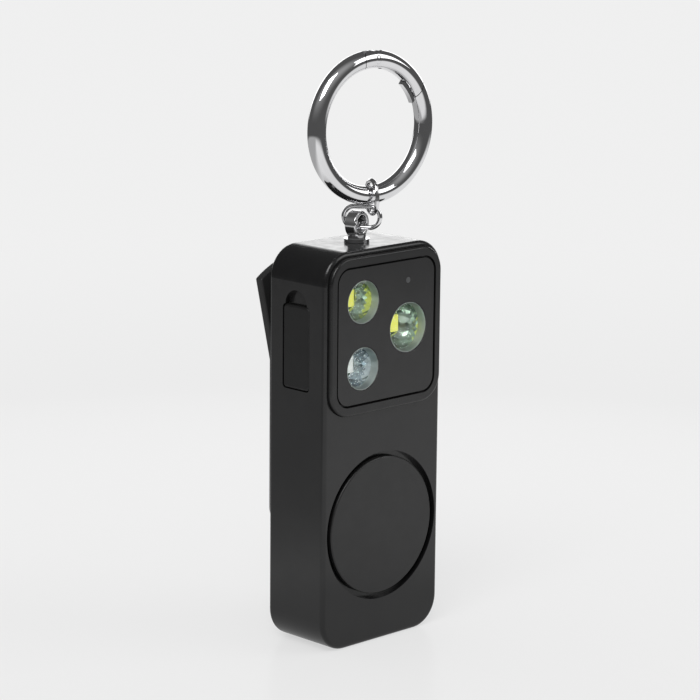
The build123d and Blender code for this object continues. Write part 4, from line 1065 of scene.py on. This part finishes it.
@dataclass
class Electronics(Assembly):
    """The boards, the cell and the contacts inside.

    Args:
        face: Y of the main board's front face.
        chips: Small pieces on the board: X and Z in millimetres, and the size.
        end_share: Width of each soldered end, as a share of the piece's.
        end_height_share: Half the height of an end, as a share of the piece's.
        end_depth_share: Thickness of an end, as a share of the piece's.
        chip_edge: Width of a piece's broken edges.
        end_edge: Width of an end's broken edges.
        seal_inset: How far the cell's folded seal stays in from its sides.
        seal_height: Height of that seal.
        seal_depth: Thickness of that seal.
        seal_edge: Width of its broken edges.
        tab_place: How far the cell's two tabs lie from its middle.
        tab_width: Width of a tab.
        tab_height: How far a tab stands up from the cell.
        tab_front: How far a tab's front lies before the cell's middle.
        tab_back: How far its back lies before that middle.
        tab_edge: Width of its broken edges.
    """

    face: float = 1.75 * MM
    chips: tuple[tuple[float, float, Package], ...] = (
        (-8.0, 45.0, Package.MEDIUM),
        (-4.0, 45.0, Package.SMALL),
        (0.5, 44.0, Package.SMALL),
        (5.0, 45.5, Package.MEDIUM),
        (9.5, 44.0, Package.SQUARE),
        (-9.5, 38.0, Package.LONG),
        (-9.5, 34.0, Package.SMALL),
        (9.5, 36.0, Package.LONG),
        (9.5, 32.5, Package.SMALL),
        (-9.0, 16.0, Package.MEDIUM),
        (-4.5, 14.0, Package.SMALL),
        (0.0, 15.5, Package.SQUARE),
        (5.0, 14.0, Package.SMALL),
        (9.0, 16.0, Package.MEDIUM),
    )
    end_share: float = 0.22
    end_height_share: float = 0.47
    end_depth_share: float = 0.96
    chip_edge: float = 0.05 * MM
    end_edge: float = 0.06 * MM
    seal_inset: float = 1.0 * MM
    seal_height: float = 2.4 * MM
    seal_depth: float = 0.8 * MM
    seal_edge: float = 0.15 * MM
    tab_place: float = 5.0 * MM
    tab_width: float = 3.0 * MM
    tab_height: float = 3.1 * MM
    tab_front: float = 0.7 * MM
    tab_back: float = 0.45 * MM
    tab_edge: float = 0.05 * MM

    def build(self) -> None:
        """Dress the pieces inside the housing and add the small ones."""
        self.bench.dress(BOARD_MASK, "main_board", "led_board")
        self.bench.dress(MOULDED_BLACK, "control_chip", "board_header")
        self.bench.dress(CELL_FOIL, "battery_cell")
        self.bench.dress(TAPE_FABRIC, "battery_tape")
        self.bench.dress(CONTACT_BRASS, "contact_leaves")
        self.bench.fit(self.board_parts(), PART_TAN, "housing", "moulded_black")
        self.bench.fit(self.board_solder(), SOLDER_TIN, "housing", "zinc_steel")
        self.bench.fit(self.cell_seal(), CELL_FOIL, "housing", "cell_foil")

    def board_parts(self) -> Piece:
        """Make the bodies of the small pieces on the board.

        Returns:
            One object with all of them.
        """
        mould = Mould()
        for x, z, package in self.chips:
            width, height, thick = package.value
            half = width * (0.5 - self.end_share)
            low = (x * MM - half, self.face - thick, z * MM - height / 2)
            high = (x * MM + half, self.face, z * MM + height / 2)
            mould.block(low, high, self.chip_edge)
        return mould.keep("board_parts")

    def board_solder(self) -> Piece:
        """Make the soldered ends of the small pieces on the board.

        Returns:
            One object with all of them.
        """
        mould = Mould()
        for x, z, package in self.chips:
            width, height, thick = package.value
            front = self.face - thick * self.end_depth_share
            rise = height * self.end_height_share
            for side in (-1, 1):
                inner = x * MM + side * width * (0.5 - self.end_share)
                outer = x * MM + side * width * 0.5
                low = (min(inner, outer), front, z * MM - rise)
                high = (max(inner, outer), self.face, z * MM + rise)
                mould.block(low, high, self.end_edge)
        return mould.keep("board_solder")

    def cell_seal(self) -> Piece:
        """Make the folded seal and the two tabs at the cell's top.

        Returns:
            One object with the seal and the tabs.
        """
        low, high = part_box("battery_cell")
        middle = (low.y + high.y) / 2
        mould = Mould()
        seal_low = (low.x + self.seal_inset, middle - self.seal_depth / 2, high.z)
        seal_high = (high.x - self.seal_inset, middle + self.seal_depth / 2, high.z + self.seal_height)
        mould.block(seal_low, seal_high, self.seal_edge)
        for side in (-1, 1):
            place = side * self.tab_place
            tab_low = (place - self.tab_width / 2, middle - self.tab_front, high.z)
            tab_high = (place + self.tab_width / 2, middle - self.tab_back, high.z + self.tab_height)
            mould.block(tab_low, tab_high, self.tab_edge)
        return mould.keep("cell_seal")


@dataclass
class PullPin(Assembly):
    """The pin, its links and the key ring with its gate.

    Args:
        dome_radius: Radius of the rivet's two domed heads.
        dome_height: How far they stand out.
        dome_skirt: How far they go on behind their rims.
        dome_sink: How far their rims lie under the rivet's ends.
        dome_angles: Angles of the points over a dome, in degrees.
        around: Steps round a head.
    """

    dome_radius: float = 0.95 * MM
    dome_height: float = 0.42 * MM
    dome_skirt: float = 0.05 * MM
    dome_sink: float = 0.28 * MM
    dome_angles: range = range(0, 90, 15)
    around: int = 28

    def build(self) -> None:
        """Dress the metal pieces above the housing and head the rivet."""
        self.bench.dress(
            BRIGHT_CHROME, "pull_pin", "lower_link", "upper_link", "key_ring", "ring_gate", "gate_rivet"
        )
        self.bench.dress(SOCKET_PLASTIC, "pin_socket")
        heads = self.rivet_heads(self.bench.nodes["gate_rivet"])
        self.bench.fit(heads, BRIGHT_CHROME, "key_ring", "bright_chrome")

    def rivet_heads(self, rivet: Piece) -> Piece:
        """Make the two domed heads of the gate's rivet.

        Args:
            rivet: The rivet's shank in the frame.

        Returns:
            One object with both heads.
        """
        points = [vertex.co.copy() for vertex in rivet.data.vertices]
        near = min(points, key=lambda point: point.y)
        far = max(points, key=lambda point: point.y)
        fronts = [point for point in points if (point - near).length < (point - far).length]
        backs = [point for point in points if (point - near).length >= (point - far).length]
        front = sum(fronts, Vector()) / len(fronts)
        back = sum(backs, Vector()) / len(backs)
        axis = (back - front).normalized()
        turns = [math.radians(angle) for angle in self.dome_angles]
        dome = [(self.dome_radius * math.cos(turn), self.dome_height * math.sin(turn)) for turn in turns]
        skirt = [(0.0, -self.dome_skirt), (self.dome_radius, -self.dome_skirt)]
        mould = Mould()
        for end, way in ((front, -axis), (back, axis)):
            reach = max((point - end).dot(way) for point in points)
            frame = across(way, end + way * (reach - self.dome_sink))
            mould.turn([*skirt, *dome, (0.0, self.dome_height)], frame, self.around)
        return mould.keep("rivet_heads")


@dataclass
class SpringClip(Assembly):
    """The clip on the back, with its pin and its wound spring.

    Args:
        coil_radius: Radius of the coil's centre line.
        wire_radius: Radius of the spring's wire.
        pitch: How far one turn goes along the pin.
        turns: Whole turns of the coil.
        leg: Length of each leg.
        leg_shares: Places of the points along a leg, as shares of its length.
        floor_lean: How far the held leg leans from the pin's upright, in degrees.
        lever_lean: How far the driven leg leans, in degrees.
        steps: Points in one turn.
        around: Sides of the wire's section.
    """

    coil_radius: float = 1.4 * MM
    wire_radius: float = 0.28 * MM
    pitch: float = 1.0 * MM
    turns: int = 4
    leg: float = 4.0 * MM
    leg_shares: tuple[float, ...] = (0.33, 0.66, 1.0)
    floor_lean: float = 7.0
    lever_lean: float = 18.0
    steps: int = 28
    around: int = 12

    def build(self) -> None:
        """Dress the clip's pieces and wind its spring."""
        self.bench.dress(CLIP_PLASTIC, "clip_lever")
        self.bench.dress(SPRING_STEEL, "clip_pin", "clip_spring")
        low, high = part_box("clip_pin")
        pivot = (low + high) / 2
        spring, reach = self.spring(pivot)
        held = ("housing", pivot - Vector((reach, 0.0, 0.0)))
        driven = ("clip_lever", pivot + Vector((reach, 0.0, 0.0)))
        self.bench.stretch(spring, SPRING_STEEL, (held, driven), "zinc_steel", "clip_spring")

    def _heading(self, angle: float) -> Vector:
        """Give the direction in which the coil runs.

        Args:
            angle: Angle about the pin.

        Returns:
            The direction, of length 1.
        """
        rise = self.pitch / (2 * math.pi)
        ahead = Vector((rise, -math.sin(angle) * self.coil_radius, math.cos(angle) * self.coil_radius))
        return ahead.normalized()

    def spring(self, pivot: Vector) -> tuple[Piece, float]:
        """Wind the spring round the pin.

        Args:
            pivot: Middle of the pin.

        Returns:
            The spring, and how far its coil reaches either way along the pin.
        """
        twist = math.radians(360.0 * self.turns + 180.0 - self.floor_lean - self.lever_lean)
        reach = self.pitch * twist / (4 * math.pi)
        start = math.radians(180.0 + self.floor_lean)
        count = round(self.steps * twist / (2 * math.pi))
        coil = []
        for step in range(count + 1):
            share = step / count
            angle = start + twist * share
            out = Vector((0.0, math.cos(angle), math.sin(angle))) * self.coil_radius
            coil.append(pivot + Vector((reach * (2 * share - 1), 0.0, 0.0)) + out)
        first, last = self._heading(start), self._heading(start + twist)
        held_leg = [coil[0] - first * self.leg * share for share in reversed(self.leg_shares)]
        driven_leg = [coil[-1] + last * self.leg * share for share in self.leg_shares]
        mould = Mould()
        mould.draw_wire([*held_leg, *coil, *driven_leg], self.wire_radius, self.around)
        return mould.keep("wound_clip_spring"), reach


@dataclass
class Camera:
    """The camera that stands where the photograph was taken.

    Args:
        place: Where it stands.
        right: Direction to the right of its picture.
        upward: Direction to the top of its picture.
        lens: Its focal length, in millimetres.
        sensor: Width of its sensor, in millimetres.
        reach: Nearest and farthest distance that it sees.
    """

    place: Place = (-0.398916, -0.404791, 0.182513)
    right: Place = (0.715029, -0.699036, 0.009092)
    upward: Place = (0.139820, 0.155737, 0.977853)
    lens: float = 143.085
    sensor: float = 36.0
    reach: tuple[float, float] = (0.01, 20.0)

    def build(self) -> None:
        """Make the camera and look through it."""
        data = bpy.data.cameras.new("camera")
        data.lens = self.lens
        data.sensor_width = self.sensor
        data.clip_start, data.clip_end = self.reach
        camera = bpy.data.objects.new("camera", data)
        bpy.context.scene.collection.objects.link(camera)
        right = Vector(self.right).normalized()
        back = right.cross(Vector(self.upward).normalized()).normalized()
        turn = Matrix((right, back.cross(right), back)).transposed().to_4x4()
        camera.matrix_world = Matrix.Translation(Vector(self.place)) @ turn
        bpy.context.scene.camera = camera


@dataclass(frozen=True)
class Softbox:
    """One soft light.

    Args:
        name: Name of the light.
        place: Where it hangs.
        width: Its level side.
        height: Its other side.
        power: Its power in watts.
    """

    name: str
    place: Place
    width: float
    height: float
    power: float


@dataclass
class Studio:
    """The pale table, the pale surroundings and the soft lights.

    Directions point away from the object, and levels are linear.

    Args:
        background: Level of the backdrop and the sheet as the eye sees them.
        floor_half: Half the side of the sheet.
        sheet_level: Colour of the sheet where it takes shade.
        sheet_roughness: Roughness of its faint gloss.
        sheen: How that gloss runs out with the distance.
        evenness: How the sheet runs out into an even tone with the distance.
        sheet_end: Distance over which gloss sees the sheet end.
        foot: How the painted shade round the object's foot runs out, as gloss sees the sheet.
        rear_way: Direction in which the sheet carries painted shade, away from the lights.
        rear: How that painted shade deepens that way.
        ambient: Level of the light from all round.
        dim: Level of the room that gloss and clear plastic see.
        glow: Level of the bright patch low behind, which they alone see.
        glow_way: Direction of that patch.
        glow_side: How the patch grows towards that direction, by the cosine between.
        glow_height: How it grows as the height sinks, by the sine.
        ceiling_way: Side on which the room is paler overhead, the camera's.
        ceiling_side: How it grows paler towards that side, by the cosine between.
        ceiling_height: How it grows paler with the height, by the sine.
        lights: The soft lights.
        aim: Where they point.
    """

    background: float = 0.868
    floor_half: float = 3.0
    sheet_level: float = 0.80
    sheet_roughness: float = 0.22
    sheen: Fade = Fade(0.10, 0.24, 0.12, 0.0)
    evenness: Fade = Fade(0.10, 0.48, 0.68, 1.0)
    sheet_end: Fade = Fade(0.30, 0.65)
    foot: Fade = Fade(0.035, 0.085, 0.35, 0.0)
    rear_way: Place = (-0.7071, 0.7071, 0.0)
    rear: Fade = Fade(0.04, 0.14, 0.0, 0.55)
    ambient: float = 0.55
    dim: float = 0.09
    glow: float = 2.3
    glow_way: Place = (0.70, 0.71, 0.06)
    glow_side: Fade = Fade(0.70, 0.94)
    glow_height: Fade = Fade(0.36, 0.20)
    ceiling_way: Place = (-0.70, -0.71, 0.0)
    ceiling_side: Fade = Fade(-0.10, 0.60)
    ceiling_height: Fade = Fade(0.05, 0.90, 0.0, 0.30)
    lights: tuple[Softbox, ...] = (
        Softbox("key_light", (-0.9, -0.5, 1.3), 0.9, 0.9, 13.0),
        Softbox("fill_light", (0.9, -1.1, 0.9), 1.0, 1.0, 6.0),
    )
    aim: Place = (0.0, 0.0, 0.055)

    def build(self) -> None:
        """Make the table, the surroundings and the lights."""
        self._table()
        self._surroundings()
        for light in self.lights:
            self._hang(light)
        bpy.context.scene.view_settings.view_transform = "Standard"

    def _table(self) -> None:
        """Lay the table under the object's lowest point."""
        half = self.floor_half
        corners = [(-half, -half, 0.0), (half, -half, 0.0), (half, half, 0.0), (-half, half, 0.0)]
        mesh = bpy.data.meshes.new("table_top")
        mesh.from_pydata(corners, [], [(0, 1, 2, 3)])
        table = bpy.data.objects.new("table_top", mesh)
        bpy.context.scene.collection.objects.link(table)
        mesh.materials.append(self._table_finish())

    def _table_finish(self) -> bpy.types.Material:
        """Make the table's pale sheet, which takes shade and faint gloss near the object only.

        Returns:
            The material.
        """
        material = bpy.data.materials.new("table_sheet")
        material.use_nodes = True
        nodes = material.node_tree.nodes
        wiring = Wiring(material.node_tree)
        place = wiring.place("Object")
        length = wiring.node("ShaderNodeVectorMath")
        length.operation = "LENGTH"
        wiring.join(place, length.inputs[0])
        reach = length.outputs["Value"]
        sheet = nodes["Principled BSDF"]
        sheet.inputs["Base Color"].default_value = grey(self.sheet_level)
        sheet.inputs["Roughness"].default_value = self.sheet_roughness
        wiring.join(wiring.fade(reach, self.sheen), sheet.inputs["Specular IOR Level"])
        even = wiring.node("ShaderNodeEmission")
        even.inputs["Color"].default_value = grey(self.background)
        seen = wiring.mix(wiring.fade(reach, self.evenness), sheet.outputs["BSDF"], even.outputs["Emission"])
        beyond = wiring.node("ShaderNodeEmission")
        beyond.inputs["Color"].default_value = grey(self.dim)
        whole = wiring.mix(self._past_the_table(wiring, place, reach), seen, beyond.outputs["Emission"])
        wiring.join(whole, nodes["Material Output"].inputs["Surface"])
        return material

    def _past_the_table(self, wiring: Wiring, place: Socket, reach: Socket) -> Socket:
        """Tell how far the sheet gives way to the dim room, for all but the eye.

        The sheet ends a little way off, and painted shade darkens it away from the lights and
        round the object's foot.

        Args:
            wiring: The table's nodes.
            place: The object coordinates.
            reach: The distance from the object.

        Returns:
            A socket that is 0 on the bright sheet and 1 past it.
        """
        # Painted shade on the sheet, seen by gloss only: round the foot and away from the lights.
        near = wiring.work_out("MAXIMUM", wiring.fade(reach, self.foot), wiring.fade(reach, self.sheet_end))
        darkest = wiring.work_out("MAXIMUM", near, wiring.fade(wiring.along(place, self.rear_way), self.rear))
        unseen = wiring.work_out("SUBTRACT", 1.0, wiring.ray("Is Camera Ray"))
        return wiring.work_out("MULTIPLY", unseen, darkest)

    def _surroundings(self) -> None:
        """Make a pale backdrop for the eye, a dim room for gloss, and a light from all round."""
        world = bpy.data.worlds.new("studio")
        bpy.context.scene.world = world
        world.use_nodes = True
        nodes = world.node_tree.nodes
        wiring = Wiring(world.node_tree)
        light = nodes["Background"]
        light.inputs["Color"].default_value = grey(1.0)
        light.inputs["Strength"].default_value = self.ambient
        pale = wiring.node("ShaderNodeBackground")
        pale.inputs["Color"].default_value = grey(self.background)
        room = wiring.node("ShaderNodeBackground")
        room.inputs["Color"].default_value = grey(1.0)
        wiring.join(self._room(wiring), room.inputs["Strength"])
        mirrored = wiring.work_out("MAXIMUM", wiring.ray("Is Glossy Ray"), wiring.ray("Is Transmission Ray"))
        unseen = wiring.mix(mirrored, light.outputs["Background"], room.outputs["Background"])
        whole = wiring.mix(wiring.ray("Is Camera Ray"), unseen, pale.outputs["Background"])
        wiring.join(whole, nodes["World Output"].inputs["Surface"])

    def _room(self, wiring: Wiring) -> Socket:
        """Work out the room that gloss and metal mirror.

        It is dim, with a bright patch low behind the object, and grows paler overhead on the
        camera's side, which softens what the ring mirrors.

        Args:
            wiring: The world's nodes.

        Returns:
            The level's socket.
        """
        way = wiring.place("Generated")
        height = wiring.along(way, (0.0, 0.0, 1.0))
        behind = wiring.fade(wiring.along(way, self.glow_way), self.glow_side)
        patch = wiring.work_out("MULTIPLY", behind, wiring.fade(height, self.glow_height))
        level = wiring.fade(patch, Fade(low=self.dim, high=self.glow, soft=False))
        front = wiring.fade(wiring.along(way, self.ceiling_way), self.ceiling_side)
        overhead = wiring.fade(height, self.ceiling_height)
        return wiring.work_out("ADD", level, wiring.work_out("MULTIPLY", front, overhead))

    def _hang(self, light: Softbox) -> None:
        """Hang one soft light that faces the object.

        Args:
            light: The light.
        """
        data = bpy.data.lights.new(light.name, "AREA")
        data.shape = "RECTANGLE"
        data.size = light.width
        data.size_y = light.height
        data.energy = light.power
        lamp = bpy.data.objects.new(light.name, data)
        lamp.visible_camera = False
        bpy.context.scene.collection.objects.link(lamp)
        place = Vector(light.place)
        lamp.matrix_world = across(place - Vector(self.aim), place)


def main() -> None:
    """Dress the frame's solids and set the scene."""
    logging.basicConfig(level=logging.INFO)
    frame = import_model()
    bench = Bench(frame["nodes"])
    for kind in (Housing, TorchButton, LampUnit, Sounder, Electronics, PullPin, SpringClip):
        kind(bench).build()
        LOG.info("built %s", kind.__name__)
    Camera().build()
    Studio().build()


if __name__ == "__main__":
    main()
